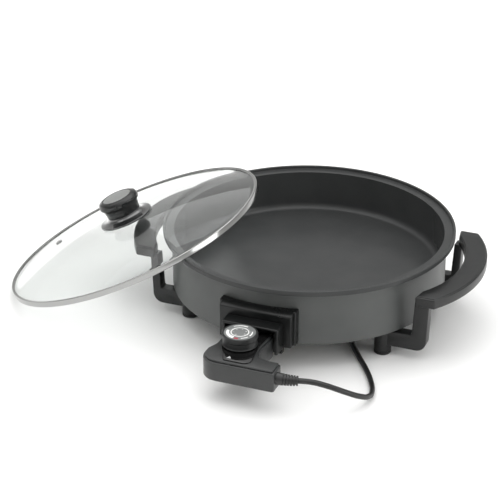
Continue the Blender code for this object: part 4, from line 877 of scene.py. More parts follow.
def coil_points():
    """Spirals in on the table, climbs a layer in half a turn and spirals out again."""
    turn_in = 2 * math.pi * COIL_TURNS
    total = 2 * turn_in + math.pi
    count = round(total / (2 * math.pi) * COIL_POINTS)
    straight = 2 * CORD_RADIUS
    points = [(COIL_RADIUS, -straight, 0)]
    for i in range(count + 1):
        angle = total * i / count
        climb = min(max((angle - turn_in) / math.pi, 0), 1)
        layer = climb * climb * (3 - 2 * climb)
        out = angle - turn_in - math.pi if angle > turn_in + math.pi else max(turn_in - angle, 0)
        radius = COIL_RADIUS - COIL_PITCH * (COIL_TURNS - out / (2 * math.pi))
        points.append((radius * math.cos(angle), radius * math.sin(angle), COIL_LIFT * layer))
    points.append((points[-1][0], points[-1][1] - straight, points[-1][2]))
    return [(x, COIL_Y + y, CORD_REST_Z + z) for x, y, z in points]


def build_cord(plug_pieces):
    exit_point = Vector((BAR_RIGHT + GAP + RELIEF_LENGTH, CORD_Y + RELIEF_BEND, CORD_Z))
    heading = Vector((RELIEF_LENGTH, 2 * RELIEF_BEND, 0)).normalized()
    route = [exit_point, exit_point + heading * 2 * CORD_RADIUS]
    route += CORD_ROUTE + coil_points() + TAIL_ROUTE
    route.append((PLUG_END_X + GAP, PLUG_Y, PLUG_Z))
    curve = bpy.data.curves.new("mains_cord", "CURVE")
    curve.dimensions = "3D"
    curve.bevel_depth = CORD_RADIUS
    curve.bevel_resolution = 4
    curve.resolution_u = 6
    curve.use_fill_caps = True
    spline = curve.splines.new("BEZIER")
    spline.bezier_points.add(len(route) - 1)
    for knot, where in zip(spline.bezier_points, route):
        knot.co = SKILLET @ Vector(where)
        knot.handle_left_type = "AUTO"
        knot.handle_right_type = "AUTO"
    curve.materials.append(finishes["cord"])
    cord = holder(curve)
    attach(cord, "controller")
    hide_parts("power_cord", "cord_coil", "cord_tail")


def build_plug():
    place = SKILLET @ Matrix.Translation((PLUG_END_X, PLUG_Y, PLUG_Z)) @ Matrix.Rotation(-QUARTER, 4, "Y")
    profile = [(0, PLUG_LENGTH, 0), (PLUG_RADIUS, PLUG_LENGTH, 0.0014)]
    profile += [(PLUG_RADIUS * out, PLUG_LENGTH * along, radius) for out, along, radius in PLUG_SHARES]
    profile += [(CORD_RADIUS + 0.0012, 0, 0.0008), (0, 0, 0)]
    body = turned("plug_moulding", rounded(profile, closed=False), place)
    moulding = show("plug_moulding", body, "moulding", "controller", ["plug_body"])
    pins = []
    for side in (-1, 1):
        at = place @ Matrix.Translation((0, side * PLUG_PIN_SPACING / 2, 0))
        tip = PLUG_LENGTH + PLUG_PIN_LENGTH
        pin = rounded([(0, tip, 0), (PLUG_PIN_RADIUS, tip, 0.0016), (PLUG_PIN_RADIUS, PLUG_LENGTH, 0),
                       (0, PLUG_LENGTH, 0)], closed=False)
        pins.append(turned("pin", pin, at, SMALL_STEPS))
    pin_pair = show("plug_pins", merged("plug_pins", pins), "pin", "controller",
                    ["plug_pin_left", "plug_pin_right"])
    return [moulding, pin_pair]


def build_relief():
    """The centre line starts inside the controller's wall and bends towards the cord."""
    end = BAR_RIGHT + GAP + RELIEF_LENGTH
    line = []
    for i in range(25):
        x = RELIEF_START + (end - RELIEF_START) * i / 24
        share = max(0, (x - BAR_RIGHT - GAP) / RELIEF_LENGTH)
        line.append((x, CORD_Y + RELIEF_BEND * share ** 2, CORD_Z))
    mesh = bpy.data.meshes.new("relief_line")
    mesh.from_pydata(line, [(i, i + 1) for i in range(len(line) - 1)], [])
    made = grown(relief_tree, "relief_sleeve", mesh, "moulding", SKILLET, {
        "Collar Radius": RELIEF_COLLAR, "Tip Radius": RELIEF_TIP, "Groove Depth": RELIEF_GROOVE,
        "Ribs": RELIEF_RIBS, "Collar Share": 0.42, "Groove Share": 0.38, "Points": 121, "Sides": 40})
    show("relief_sleeve", made, "moulding", "controller", ["strain_relief"])


# ---------------------------------------------------------------- pan, heater and socket

def build_pan():
    lip_inner = RIM_RADIUS - LIP_WIDTH
    wall_inner = WALL_RADIUS - WALL
    ledge = RIM_TOP - LEDGE_DROP
    lip_under = RIM_TOP - LIP_HEIGHT
    profile = rounded([
        (0, FLOOR_TOP, 0), (wall_inner, FLOOR_TOP, FLOOR_FILLET), (wall_inner, ledge, 0.0006),
        (lip_inner, ledge, 0.0008), (lip_inner, RIM_TOP, LIP_ROUND), (RIM_RADIUS, RIM_TOP, LIP_ROUND),
        (RIM_RADIUS, lip_under, 0.0008), (WALL_RADIUS + LIP_FLARE, lip_under, 0.0012),
        (WALL_RADIUS, lip_under - LIP_FLARE, 0.0030), (WALL_RADIUS, PAN_BOTTOM, PAN_CORNER),
        (wall_inner, PAN_BOTTOM, 0.0008), (wall_inner, FLOOR_UNDER, 0.0020), (0, FLOOR_UNDER, 0),
    ], closed=False)
    pan = holder(turned("pan_casting", profile, Matrix.Identity(4), FINE_STEPS))
    low = (PLUG_X - NOTCH_WIDTH / 2, -WALL_RADIUS - OVERRUN, PAN_BOTTOM - OVERRUN)
    high = (PLUG_X + NOTCH_WIDTH / 2, -wall_inner + FLOOR_FILLET, FLOOR_UNDER - GAP)
    combined(pan, block("pan_notch", low, high), "DIFFERENCE")
    casting = settled(pan)
    bosses = []
    for side, end in CORNERS:
        profile = rounded([(0, FLOOR_UNDER + GAP, 0), (BOSS_RADIUS + OVERRUN, FLOOR_UNDER + GAP, 0),
                           (BOSS_RADIUS, FLOOR_UNDER - GAP, 0.0010), (BOSS_RADIUS, BOSS_UNDER, 0.0006),
                           (0, BOSS_UNDER, 0)], closed=False)
        at = SKILLET @ Matrix.Translation((side * FOOT_X, end * FOOT_Y, 0))
        bosses.append(turned("boss", profile, at, SMALL_STEPS))
    show("pan_casting", merged("pan_casting", [casting] + bosses), "pan", "base",
         ["pan"])


def build_heater():
    half = PIN_SPACING / 2
    first = -QUARTER + ELEMENT_GAP_ANGLE
    last = 3 * QUARTER - ELEMENT_GAP_ANGLE
    ring = [(PLUG_X + x, y) for x, y in arc(0, 0, ELEMENT_RING_RADIUS, first, last, 120)]
    bend = -ELEMENT_RING_RADIUS - ELEMENT_BEND
    lead = [(PLUG_X + half, -PIN_START + GAP), (PLUG_X + half, bend - ELEMENT_BEND), (PLUG_X + half, bend)]
    lead_end = [(2 * PLUG_X - x, y) for x, y in reversed(lead)]
    line = rounded([(x, y, 0) for x, y in lead[:2]] + [(*lead[2], 0.010)] + [(x, y, 0) for x, y in ring]
                   + [(*lead_end[0], 0.010)] + [(x, y, 0) for x, y in lead_end[1:]], closed=False)
    tube = swept("heater_tube", [(x, y, PIN_Z) for x, y in line], ELEMENT_RADIUS, 8)
    show("heater_tube", tube, "element", "base", ["heating_element"])


def build_socket():
    def centred(name, width, back, front, low, high):
        return block(name, (PLUG_X - width / 2, -front, low), (PLUG_X + width / 2, -back, high))

    side_view = [(-SOCKET_BACK, HOOD_BOTTOM), (-HOOD_FRONT, HOOD_BOTTOM), (-HOOD_FRONT, HOOD_FRONT_TOP),
                 (-FLANGE_FRONT, FLANGE_TOP), (-SOCKET_BACK, FLANGE_TOP)]
    housing = slab("socket", side_view, PLUG_X - HOOD_WIDTH / 2, PLUG_X + HOOD_WIDTH / 2)
    housing.data.transform(Matrix.Rotation(QUARTER, 4, "Z") @ Matrix.Rotation(QUARTER, 4, "X"))
    bevelled(housing, SOCKET_BEVEL)
    flange = centred("flange", FLANGE_WIDTH, SOCKET_BACK, FLANGE_FRONT, HOOD_BOTTOM, FLANGE_TOP)
    combined(housing, bevelled(flange, SOCKET_BEVEL), "UNION")
    shroud = centred("shroud", SHROUD_WIDTH, SOCKET_BACK, SHROUD_FRONT, SHROUD_BOTTOM, SHROUD_TOP)
    combined(housing, bevelled(shroud, SOCKET_BEVEL), "UNION")
    mouth_width = SHROUD_WIDTH - 2 * SHROUD_WALL
    back = WALL_RADIUS + SOCKET_WALL
    combined(housing, centred("tongue", mouth_width, SOCKET_BACK, back, TONGUE_BOTTOM, PIN_Z), "UNION")
    clearance = rod("pan_clearance", WALL_RADIUS + GAP, TONGUE_BOTTOM - OVERRUN, FLANGE_TOP + OVERRUN,
                    Matrix.Identity(4), FINE_STEPS)
    combined(housing, clearance, "DIFFERENCE")
    mouth = centred("mouth", mouth_width, back, SHROUD_FRONT + OVERRUN, SHROUD_BOTTOM - OVERRUN,
                    SHROUD_TOP - SHROUD_ROOF)
    combined(housing, mouth, "DIFFERENCE")
    for side in (-1, 1):
        at = Matrix.Translation((PLUG_X + side * PIN_SPACING / 2, 0, PIN_Z)) @ FORWARD
        combined(housing, rod("pin_hole", PIN_RADIUS + GAP, SOCKET_BACK, HOOD_FRONT, at), "DIFFERENCE")
    at = Matrix.Translation((PLUG_X, 0, PROBE_Z)) @ FORWARD
    combined(housing, rod("probe_hole", PROBE_BORE, SOCKET_BACK, HOOD_FRONT, at), "DIFFERENCE")
    show("socket_moulding", settled(housing), "socket", "base",
         ["socket_housing"])
    places = []
    for side in (-1, 1):
        x = PLUG_X + side * SOCKET_SCREW_SPACING / 2
        seat = math.sqrt((WALL_RADIUS - WALL) ** 2 - (abs(x) + SOCKET_SCREW[0]) ** 2) - 2 * GAP
        places.append(((x, -seat, SOCKET_SCREW_Z), (0, 1, 0)))
    screws("socket_screws", places, SOCKET_SCREW, "base",
           ["socket_screw_left", "socket_screw_right"])


# ---------------------------------------------------------------- handles and feet

def grip_outline(inset=0.0):
    """Right grip in plan: two arcs, closed by a block at each end. An inset moves it inwards."""
    end_y = GRIP_END_Y - inset
    outer_x = GRIP_APEX - GRIP_OUTER_RADIUS
    inner_x = GRIP_APEX - GRIP_WIDTH - GRIP_INNER_RADIUS
    outer_end = math.asin(end_y / (GRIP_OUTER_RADIUS - inset))
    inner_end = math.asin((GRIP_END_Y - GRIP_END_BLOCK + inset) / (GRIP_INNER_RADIUS + inset))
    outer = arc(outer_x, 0, GRIP_OUTER_RADIUS - inset, -outer_end, outer_end, GRIP_ARC_POINTS)
    inner = arc(inner_x, 0, GRIP_INNER_RADIUS + inset, inner_end, -inner_end, GRIP_ARC_POINTS)
    end_x = GRIP_END_INNER + inset
    return outer + [(end_x, end_y)] + inner + [(end_x, -end_y)]


def build_handle(side, label):
    place = SKILLET @ Matrix.Rotation(0 if side > 0 else HALF_TURN, 4, "Z")
    body = slab("grip", grip_outline(), GRIP_BOTTOM, GRIP_TOP - GRIP_STEP)
    raised = slab("grip_top", grip_outline(GRIP_STEP_INSET), GRIP_BOTTOM + GRIP_BEVEL, GRIP_TOP)
    grip = merged("grip", [settled(bevelled(body, GRIP_BEVEL), place),
                           settled(bevelled(raised, GRIP_STEP * 0.7), place)])
    show("grip_moulding_" + label, grip, "handle", "base", ["grip_" + label])
    for end, post_width in ((-1, BROAD_POST), (1, SLIM_POST)):
        where = ("front_" if end * side < 0 else "back_") + label
        outline = rounded([
            (POST_INNER, GRIP_BOTTOM + GRIP_BEVEL, 0),
            (POST_INNER + post_width, GRIP_BOTTOM + GRIP_BEVEL, 0),
            (POST_INNER + post_width - POST_LEAN, BAR_BOTTOM, POST_CORNER),
            (FOOT_X, BAR_BOTTOM, 0),
            (FOOT_X, BAR_TOP, 0),
            (POST_INNER - POST_LEAN, BAR_TOP, POST_INNER_CORNER),
        ])
        near = -end * LEG_MID_Y - LEG_THICKNESS / 2
        post = bevelled(slab("post", outline, near, near + LEG_THICKNESS), POST_BEVEL, 3)
        leg = settled(post, place @ FORWARD)
        low = PAD_HEIGHT + GAP
        high = BOSS_UNDER - GAP
        seat = LEG_SCREW_SEAT
        profile = rounded([(COUNTERBORE, seat, 0), (COUNTERBORE, low, 0.0004), (FOOT_RADIUS, low, 0.0008),
                           (FOOT_RADIUS, high, 0.0010), (LEG_BORE, high, 0), (LEG_BORE, seat, 0)])
        foot = place @ Matrix.Translation((FOOT_X, end * FOOT_Y, 0))
        column = turned("column", profile + profile[:1], foot)
        show("leg_moulding_" + where, merged("leg", [leg, column]), "handle", "base",
             ["leg_" + where])


def build_feet():
    pads = []
    screw_places = []
    for side, end in CORNERS:
        foot = (side * FOOT_X, end * FOOT_Y, 0)
        stub = COUNTERBORE - GAP
        profile = rounded([(0, PAD_HEIGHT + PAD_STUB, 0), (stub, PAD_HEIGHT + PAD_STUB, 0.0006),
                           (stub, PAD_HEIGHT, 0), (FOOT_RADIUS, PAD_HEIGHT, 0.0005),
                           (FOOT_RADIUS, 0, PAD_ROUND), (0, 0, 0)], closed=False)
        pads.append(turned("pad", profile, SKILLET @ Matrix.Translation(foot), PART_STEPS))
        screw_places.append(((foot[0], foot[1], LEG_SCREW_SEAT), (0, 0, -1)))
    show("foot_pads", merged("foot_pads", pads), "rubber", "base",
         ["foot_pad_" + label for label in CORNER_LABELS])
    screws("leg_screws", screw_places, LEG_SCREW, "base",
           ["leg_screw_" + label for label in CORNER_LABELS])


# ---------------------------------------------------------------- lid

def sphere_height(radius, distance):
    return GLASS_TOP - GLASS_SPHERE + math.sqrt(radius ** 2 - distance ** 2)


def build_lid():
    inner_sphere = GLASS_SPHERE - GLASS
    reach = GLASS_DOME - GLASS_HOLE
    steps_out = [GLASS_HOLE + reach * i / GLASS_RINGS for i in range(GLASS_RINGS + 1)]
    edge_top = GLASS_SEAT + GLASS
    profile = [(r, sphere_height(GLASS_SPHERE, r)) for r in steps_out]
    profile += arc(GLASS_EDGE - GLASS_ROUND, edge_top - GLASS_ROUND, GLASS_ROUND, QUARTER, 0, 5)
    profile += arc(GLASS_EDGE - GLASS_ROUND, GLASS_SEAT + GLASS_ROUND, GLASS_ROUND, 0, -QUARTER, 5)
    profile += [(r, sphere_height(inner_sphere, r)) for r in reversed(steps_out)]
    glass = holder(turned("glass", profile + profile[:1], Matrix.Identity(4), FINE_STEPS))
    distance = math.hypot(VENT_X, VENT_Y)
    vent = Matrix.Translation((VENT_X, VENT_Y, sphere_height(GLASS_SPHERE, distance))) \
        @ Matrix.Rotation(math.atan2(VENT_Y, VENT_X), 4, "Z") \
        @ Matrix.Rotation(math.asin(distance / GLASS_SPHERE), 4, "Y")
    combined(glass, rod("vent_hole", VENT_NECK, -GLASS - OVERRUN, OVERRUN, vent), "DIFFERENCE")
    show("lid_glass_dome", settled(glass, LID), "glass", "lid", ["lid_glass"])

    inner = LID_RADIUS - BAND_LIP
    groove = LID_RADIUS - BAND_WALL
    high = edge_top + GAP
    low = GLASS_SEAT - GAP
    band = rounded([
        (inner, high + BAND_SHEET, 0.0004), (LID_RADIUS - BAND_ROUND * 0.4, BAND_HEIGHT, 0.0009),
        (LID_RADIUS, BAND_HEIGHT - BAND_ROUND, 0.0008), (LID_RADIUS, 0, BAND_ROUND),
        (inner, 0, BAND_ROUND * 0.9), (inner, low, 0.0003), (groove, low, 0), (groove, high, 0),
        (inner, high, 0.0003)])
    show("lid_band_rolled", turned("band", band + band[:1], LID, FINE_STEPS), "band", "lid",
         ["lid_band"])

    top = GAP + VENT_SHEET
    under = -GLASS - GAP - VENT_SHEET
    eyelet = rounded([(VENT_BORE, top, 0.0005), (VENT_FLANGE, top, 0.0005), (VENT_FLANGE, GAP, 0.0002),
                      (VENT_NECK, GAP, 0), (VENT_NECK, -GLASS - GAP, 0), (VENT_FLANGE, -GLASS - GAP, 0.0002),
                      (VENT_FLANGE, under, 0.0005), (VENT_BORE, under, 0.0004)])
    show("vent_eyelet_drawn", turned("eyelet", eyelet + eyelet[:1], LID @ vent, SMALL_STEPS),
         "eyelet", "lid", ["vent_eyelet"])
    build_knob()


def build_knob():
    base_high = GLASS_TOP + KNOB_BASE_HEIGHT
    edge_low = sphere_height(GLASS_SPHERE, KNOB_BASE_RADIUS) + GAP
    edge_high = edge_low + KNOB_BASE_EDGE
    flare = KNOB_BASE_RADIUS - KNOB_FOOT_RADIUS
    drop = base_high - edge_high
    base = [(0, base_high, 0), (KNOB_FOOT_RADIUS, base_high, 0.0006)]
    base += [(KNOB_FOOT_RADIUS + flare * out, base_high - drop * down, radius)
             for out, down, radius in BASE_SHARES]
    base += [(KNOB_BASE_RADIUS, edge_high, 0.0008), (KNOB_BASE_RADIUS, edge_low, 0.0004),
             (0, GLASS_TOP + GAP, 0)]
    show("knob_flange", turned("flange", rounded(base, closed=False), LID), "flange", "lid",
         ["knob_base"])

    foot = base_high + GAP
    top = foot + KNOB_HEIGHT
    seat = top - INLAY_HEIGHT - GAP
    knob = [(0, seat, 0), (INLAY_RADIUS + GAP, seat, 0), (INLAY_RADIUS + GAP, top, 0.0003)]
    knob += [(KNOB_RADIUS * out, foot + KNOB_HEIGHT * up, radius) for out, up, radius in KNOB_SHARES]
    knob += [(KNOB_FOOT_RADIUS, foot, 0.0004), (0, foot, 0)]
    show("knob_moulding", turned("knob", rounded(knob, closed=False), LID), "knob", "lid",
         ["lid_knob"])
    disc_low = seat + GAP
    disc = rounded([(0, disc_low + INLAY_HEIGHT, 0), (INLAY_RADIUS, disc_low + INLAY_HEIGHT, 0.0004),
                    (INLAY_RADIUS, disc_low, 0), (0, disc_low, 0)], closed=False)
    show("knob_disc", turned("disc", disc, LID), "inlay", "lid", ["knob_inlay"])
    head = GLASS_TOP - GLASS - 3 * GAP - WASHER
    direction = LID.to_3x3() @ Vector((0, 0, -1))
    at = SKILLET.inverted() @ LID @ Vector((0, 0, head))
    screws("knob_fixing", [(at, direction)], KNOB_SCREW, "lid", ["knob_screw"])


# ---------------------------------------------------------------- controller and dial

def inset_line(outline, distance):
    """The same outline moved inwards, for one that runs counter-clockwise seen from above."""
    points = [Vector(point) for point in outline]
    moved = []
    for i, point in enumerate(points):
        before = (point - points[i - 1]).normalized()
        after = (points[(i + 1) % len(points)] - point).normalized()
        inward = (before + after).normalized().orthogonal()
        moved.append(point + inward * distance / math.cos(before.angle(after) / 2))
    return moved


def controller_outline():
    """Plan of the controller: neck at the back, bar across the front and to the right."""
    return rounded([
        (PLUG_X + NECK_RIGHT, -NECK_REAR, NECK_CORNER),
        (PLUG_X - NECK_LEFT, -NECK_REAR, NECK_CORNER),
        (PLUG_X - NECK_LEFT, -FLANK_Y, FLANK_FILLET),
        (-BAR_LEFT, -TIP_Y, TIP_CORNER),
        (-BAR_LEFT, -BAR_FRONT_Y, NOSE_CORNER),
        (BAR_RIGHT, -BAR_FRONT_Y, EDGE_CORNER),
        (BAR_RIGHT, -BAR_REAR_Y, EDGE_CORNER),
        (NECK_WAIST, -BAR_REAR_Y, NECK_FILLET),
        (NECK_WAIST, -NECK_WAIST_Y, 0),
        (PLUG_X + NECK_RIGHT, -NECK_SHOULDER_Y, 0),
    ])


def build_controller():
    tub = bevelled(slab("tub", controller_outline(), TUB_BOTTOM, TUB_TOP), TUB_EDGE, 4, math.radians(60))
    hollow = slab("tub_hollow", inset_line(controller_outline(), TUB_WALL), TUB_BOTTOM + TUB_WALL,
                  TUB_TOP + OVERRUN)
    combined(tub, hollow, "DIFFERENCE")
    for side in (-1, 1):
        at = Matrix.Translation((PLUG_X + side * PIN_SPACING / 2, 0, PIN_Z)) @ FORWARD
        combined(tub, rod("pin_hole", PIN_RADIUS + 2 * GAP, NECK_REAR - OVERRUN,
                          NECK_REAR + TUB_WALL + OVERRUN, at), "DIFFERENCE")
    for x, y in CONTROLLER_SCREWS:
        at = Matrix.Translation((x, y, 0))
        combined(tub, rod("counterbore", TUB_COUNTERBORE, TUB_BOTTOM - OVERRUN,
                          TUB_BOTTOM + TUB_COUNTERSINK, at), "DIFFERENCE")
    show("controller_tub_moulding", settled(tub), "controller", "controller",
         ["controller_tub"])

    cover = slab("cover", inset_line(controller_outline(), COVER_INSET), TUB_TOP + GAP, COVER_TOP)
    show("controller_cover_moulding", settled(bevelled(cover, COVER_EDGE, 4)), "controller",
         "controller", ["controller_cover"])
    places = [((x, y, TUB_BOTTOM + GAP + CONTROLLER_SCREW[1]), (0, 0, -1)) for x, y in CONTROLLER_SCREWS]
    screws("controller_screws", places, CONTROLLER_SCREW, "controller",
           ["controller_screw_1", "controller_screw_2"])

    plate = slab("plate", rounded([
        (PLUG_X + NECK_RIGHT - PLATE_INSET, -NECK_REAR - PLATE_INSET, PLATE_REAR_CORNER),
        (PLUG_X - NECK_LEFT + PLATE_INSET, -NECK_REAR - PLATE_INSET, PLATE_REAR_CORNER),
        (PLUG_X - NECK_LEFT + PLATE_INSET, -PLATE_SIDE_Y, 0),
        (-PLATE_FRONT_LEFT, -PLATE_FRONT_Y, PLATE_SMALL_CORNER),
        (PLATE_FRONT_RIGHT, -PLATE_FRONT_Y, PLATE_CORNER),
        (NECK_WAIST - PLATE_INSET, -PLATE_SIDE_Y, 0),
    ]), COVER_TOP + GAP, PLATE_TOP)
    collar = rounded([(0, PLATE_TOP + COLLAR_HEIGHT, 0), (COLLAR_RADIUS, PLATE_TOP + COLLAR_HEIGHT, 0.0003),
                      (COLLAR_RADIUS, PLATE_TOP - GAP, 0), (0, PLATE_TOP - GAP, 0)], closed=False)
    ring = turned("collar", collar, SKILLET @ Matrix.Translation((DIAL_X, DIAL_Y, 0)))
    show("dial_plate_gloss", merged("plate", [settled(bevelled(plate, PLATE_EDGE, 3)), ring]),
         "plate", "controller", ["dial_plate"])
    mark = slab("pointer", POINTER, PLATE_TOP, PLATE_TOP + PRINT_HEIGHT)
    show("dial_pointer_print", settled(mark), "grey_ink", "controller")


def printed_arc(inner, outer, start, end, taper):
    """A flat arc of ink between two angles, whose width may grow from its start."""
    count = max(6, math.ceil(abs(end - start) / math.radians(5)))
    middle = (inner + outer) / 2
    half = (outer - inner) / 2
    near, far = [], []
    for i in range(count + 1):
        share = i / count
        width = half * (1 - taper + taper * share)
        angle = start + (end - start) * share
        near.append(((middle - width) * math.cos(angle), (middle - width) * math.sin(angle)))
        far.append(((middle + width) * math.cos(angle), (middle + width) * math.sin(angle)))
    return far + near[::-1]


def build_dial():
    face_seat = DIAL_HEIGHT - DIAL_FACE_HEIGHT - GAP
    cap_low = DIAL_HEIGHT - DIAL_CAP_HEIGHT
    skirt = DIAL_SKIRT_RADIUS
    knob = rounded([
        (0, face_seat, 0), (DIAL_FACE_RADIUS + GAP, face_seat, 0),
        (DIAL_FACE_RADIUS + GAP, DIAL_HEIGHT, 0.0003), (DIAL_RADIUS, DIAL_HEIGHT, DIAL_ROUND),
        (DIAL_RADIUS, cap_low, 0.0005), (skirt - DIAL_GROOVE, cap_low, 0.0002),
        (skirt - DIAL_GROOVE, cap_low - DIAL_GROOVE, 0.0002), (skirt, cap_low - DIAL_GROOVE, 0.0004),
        (skirt, 2 * DIAL_BEAD, 0.0004), (skirt + DIAL_BEAD, DIAL_BEAD, 0.0004),
        (skirt + DIAL_BEAD, 0, 0.0003), (0, 0, 0)], closed=False)
    show("dial_cap_moulding", turned("cap", knob, DIAL), "dial", "dial",
         ["dial_knob"])
    disc = rounded([(0, DIAL_HEIGHT, 0), (DIAL_FACE_RADIUS, DIAL_HEIGHT, 0.0002),
                    (DIAL_FACE_RADIUS, face_seat + GAP, 0), (0, face_seat + GAP, 0)], closed=False)
    show("dial_face_foil", turned("face", disc, DIAL), "face", "dial",
         ["dial_face"])

    print_low = DIAL_HEIGHT
    print_high = DIAL_HEIGHT + PRINT_HEIGHT
    white = []
    for inner, outer, start, end, taper in HEAT_ARCS:
        outline = printed_arc(inner, outer, math.radians(start), math.radians(end), taper)
        white.append(settled(slab("arc", outline, print_low, print_high), DIAL))
    near, far = INK_RING
    ring = [(near, print_high), (far, print_high), (far, print_low), (near, print_low)]
    white.append(turned("ring", ring + ring[:1], DIAL))
    for i in range(6):
        angle = math.radians(SCALE_START - i * SCALE_STEP)
        at = DIAL @ Matrix.Rotation(angle, 4, "Z") @ Matrix.Translation((NUMERAL_RADIUS, 0, print_low))
        white.append(settled(numeral(str(i)), at @ Matrix.Rotation(-QUARTER, 4, "Z")))
    mesh = bpy.data.meshes.new("ticks")
    mesh.from_pydata([(0, 0, 0)], [], [])
    ticks = grown(scale_tree, "ticks", mesh, "white_ink",
                  DIAL @ Matrix.Translation((0, 0, print_low + PRINT_HEIGHT / 2)), {
                      "Ticks": 5 * TICKS_A_STEP + 1, "Radius": TICK_RADIUS,
                      "First Angle": math.radians(SCALE_START),
                      "Angle Between": -math.radians(SCALE_STEP / TICKS_A_STEP), "Tick Length": TICK_LENGTH,
                      "Tick Width": TICK_WIDTH, "Tick Height": PRINT_HEIGHT})
    white.append(ticks)
    show("dial_scale_print", merged("scale", white), "white_ink", "dial")
    start, end = (math.radians(angle) for angle in OFF_ARC)
    off = slab("off", printed_arc(*OFF_RADII, start, end, 0), print_low, print_high)
    show("dial_off_print", settled(off, DIAL), "red_ink", "dial")


def numeral(text):
    """A figure of the scale, made a flat mesh before it is placed."""
    curve = bpy.data.curves.new("figure", "FONT")
    curve.body = text
    curve.size = NUMERAL_SIZE
    curve.align_x = "CENTER"
    curve.align_y = "CENTER"
    curve.extrude = PRINT_HEIGHT / 2
    obj = holder(curve)
    bpy.context.view_layer.update()
    mesh = bpy.data.meshes.new_from_object(obj.evaluated_get(bpy.context.evaluated_depsgraph_get()))
    bpy.data.objects.remove(obj)
    mesh.transform(Matrix.Translation((0, 0, PRINT_HEIGHT / 2)))
    return holder(mesh)


# ---------------------------------------------------------------- studio

def build_studio():
    """Paper swept up in a wide curve, with painted shade that darkens it far out, under a soft sky and four
    lamps.
    """
    sweep = rounded([(0, 0, 0), (9.0, 0, 4.0), (9.0, 5.0, 0)], closed=False)
    ground = turned("floor", sweep, Matrix.Identity(4), FINE_STEPS)
    ground.shade_smooth()
    material, tree, shader = finish("studio_paper", 0xF4F4F3, 0.9)
    patchy(tree, shader, 0.8, 0xF3F3F2, 0xF5F5F4, 0.85, 0.95)
    where = add(tree, "ShaderNodeTexCoord")
    radius = about_axis(tree, (where, "Object"))[1]
    # Painted shade: the paper's colour darkens from 2.5 m to 7.5 m out, standing in for light that falls off
    # far from the lamps.
    far = add(tree, "ShaderNodeMapRange", {"Value": radius, "From Min": 2.5, "From Max": 7.5})
    paper_with_painted_shade = add(tree, "ShaderNodeMix", {"Factor": (far, "Result"), "B": srgb(0xC6C6C5)}, data_type="RGBA")
    tree.links.new(shader.inputs["Base Color"].links[0].from_socket, paper_with_painted_shade.inputs["A"])
    tree.links.new(paper_with_painted_shade.outputs["Result"], shader.inputs["Base Color"])
    ground.materials.clear()
    ground.materials.append(material)
    holder(ground)
    world = bpy.data.worlds.new("studio")
    world.use_nodes = True
    tree = world.node_tree
    background = tree.nodes["Background"]
    background.inputs["Color"].default_value = (1, 1, 1, 1)
    heading = add(tree, "ShaderNodeTexCoord")
    parts = add(tree, "ShaderNodeSeparateXYZ", {"Vector": (heading, "Generated")})
    glow = add(tree, "ShaderNodeMapRange", {"Value": (parts, "Z"), "From Min": 0.45, "From Max": 0.85,
                                            "To Min": 0.60, "To Max": 1.6}, interpolation_type="SMOOTHSTEP")
    tree.links.new(glow.outputs["Result"], background.inputs["Strength"])
    bpy.context.scene.world = world
    bpy.context.scene.view_settings.view_transform = "Standard"
    for name, place, size, power, glossy in LAMPS:
        lamp = bpy.data.lights.new(name, "AREA")
        lamp.shape = "RECTANGLE"
        lamp.size, lamp.size_y = size
        lamp.energy = power
        obj = bpy.data.objects.new(name, lamp)
        bpy.context.scene.collection.objects.link(obj)
        obj.location = place
        obj.rotation_euler = (Vector((0, 0, 0.06)) - Vector(place)).to_track_quat("-Z", "Y").to_euler()
        obj.visible_glossy = glossy


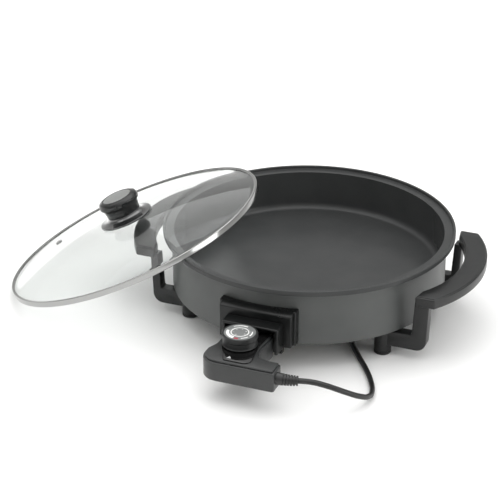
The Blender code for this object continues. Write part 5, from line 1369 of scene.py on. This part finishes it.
# Each lamp: its name, place, size and power, and whether shiny pieces mirror it
LAMPS = [
    ("overhead", (0.1, 0.4, 2.4), (3.0, 2.4), 20, True),
    ("back_softbox", (-1.0, 2.7, 1.5), (2.6, 1.3), 13, False),
    ("left_front", (-1.8, -1.2, 1.5), (1.0, 1.6), 4, True),
    ("right_side", (2.4, -0.2, 0.7), (1.2, 1.0), 14, True),
]
CORNERS = [(-1, -1), (1, -1), (-1, 1), (1, 1)]
CORNER_LABELS = ["front_left", "front_right", "back_left", "back_right"]

# Outlines as shares of the sizes of the piece that carries them, each with the radius of its corner
BASE_SHARES = [(0.04, 0.30, 0.0012), (0.22, 0.66, 0.0040), (0.55, 0.88, 0.0060), (0.92, 1.0, 0.0010)]
KNOB_SHARES = [(0.78, 1.0, 0.0006), (0.93, 0.94, 0.0025), (1.0, 0.78, 0.0030), (0.985, 0.60, 0.0030),
               (0.88, 0.44, 0.0050), (0.83, 0.14, 0.0040)]
PLUG_SHARES = [(1.0, 0.66, 0.0020), (0.92, 0.60, 0.0012), (0.92, 0.56, 0.0008), (0.98, 0.53, 0.0008),
               (0.96, 0.46, 0.0012), (0.78, 0.32, 0.0040), (0.50, 0.16, 0.0040)]

# Ink on the dial: inner and outer radius, first and last angle in degrees, and how much the arc widens
HEAT_ARCS = [
    (0.0134, 0.0184, 180, 260, 0.35),
    (0.0156, 0.0176, 140, 74, 0.4),
    (0.0150, 0.0170, 24, -18, 0.3),
    (0.0156, 0.0172, -30, -64, 0.2),
]
OFF_ARC = (266, 284)
SCALE_START = 250
SCALE_STEP = 54
POINTER = [(-0.0050, -0.2889), (0.0013, -0.2880), (-0.0025, -0.2830)]

turned_tree = make_turned_tree()
relief_tree = make_relief_tree()
screw_tree = make_screw_tree()
scale_tree = make_scale_tree()
finishes = make_finishes()

build_camera()
build_cord(build_plug())
build_relief()
build_pan()
build_heater()
build_socket()
build_handle(1, "right")
build_handle(-1, "left")
build_feet()
build_lid()
build_controller()
build_dial()

# CAD nodes that stay as they are, with their own finishes
for node, key in [("terminal_pin_left", "pin"), ("terminal_pin_right", "pin"), ("probe_guide", "brass"),
                  ("thermostat_switch", "ceramic"), ("terminal_block", "polyamide"),
                  ("contact_sleeve_left", "pin"), ("contact_sleeve_right", "pin"), ("probe_rod", "probe"),
                  ("dial_shaft", "polyamide"), ("knob_washer", "silicone")]:
    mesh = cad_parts[node].data
    mesh.materials.clear()
    mesh.materials.append(finishes[key])

build_studio()
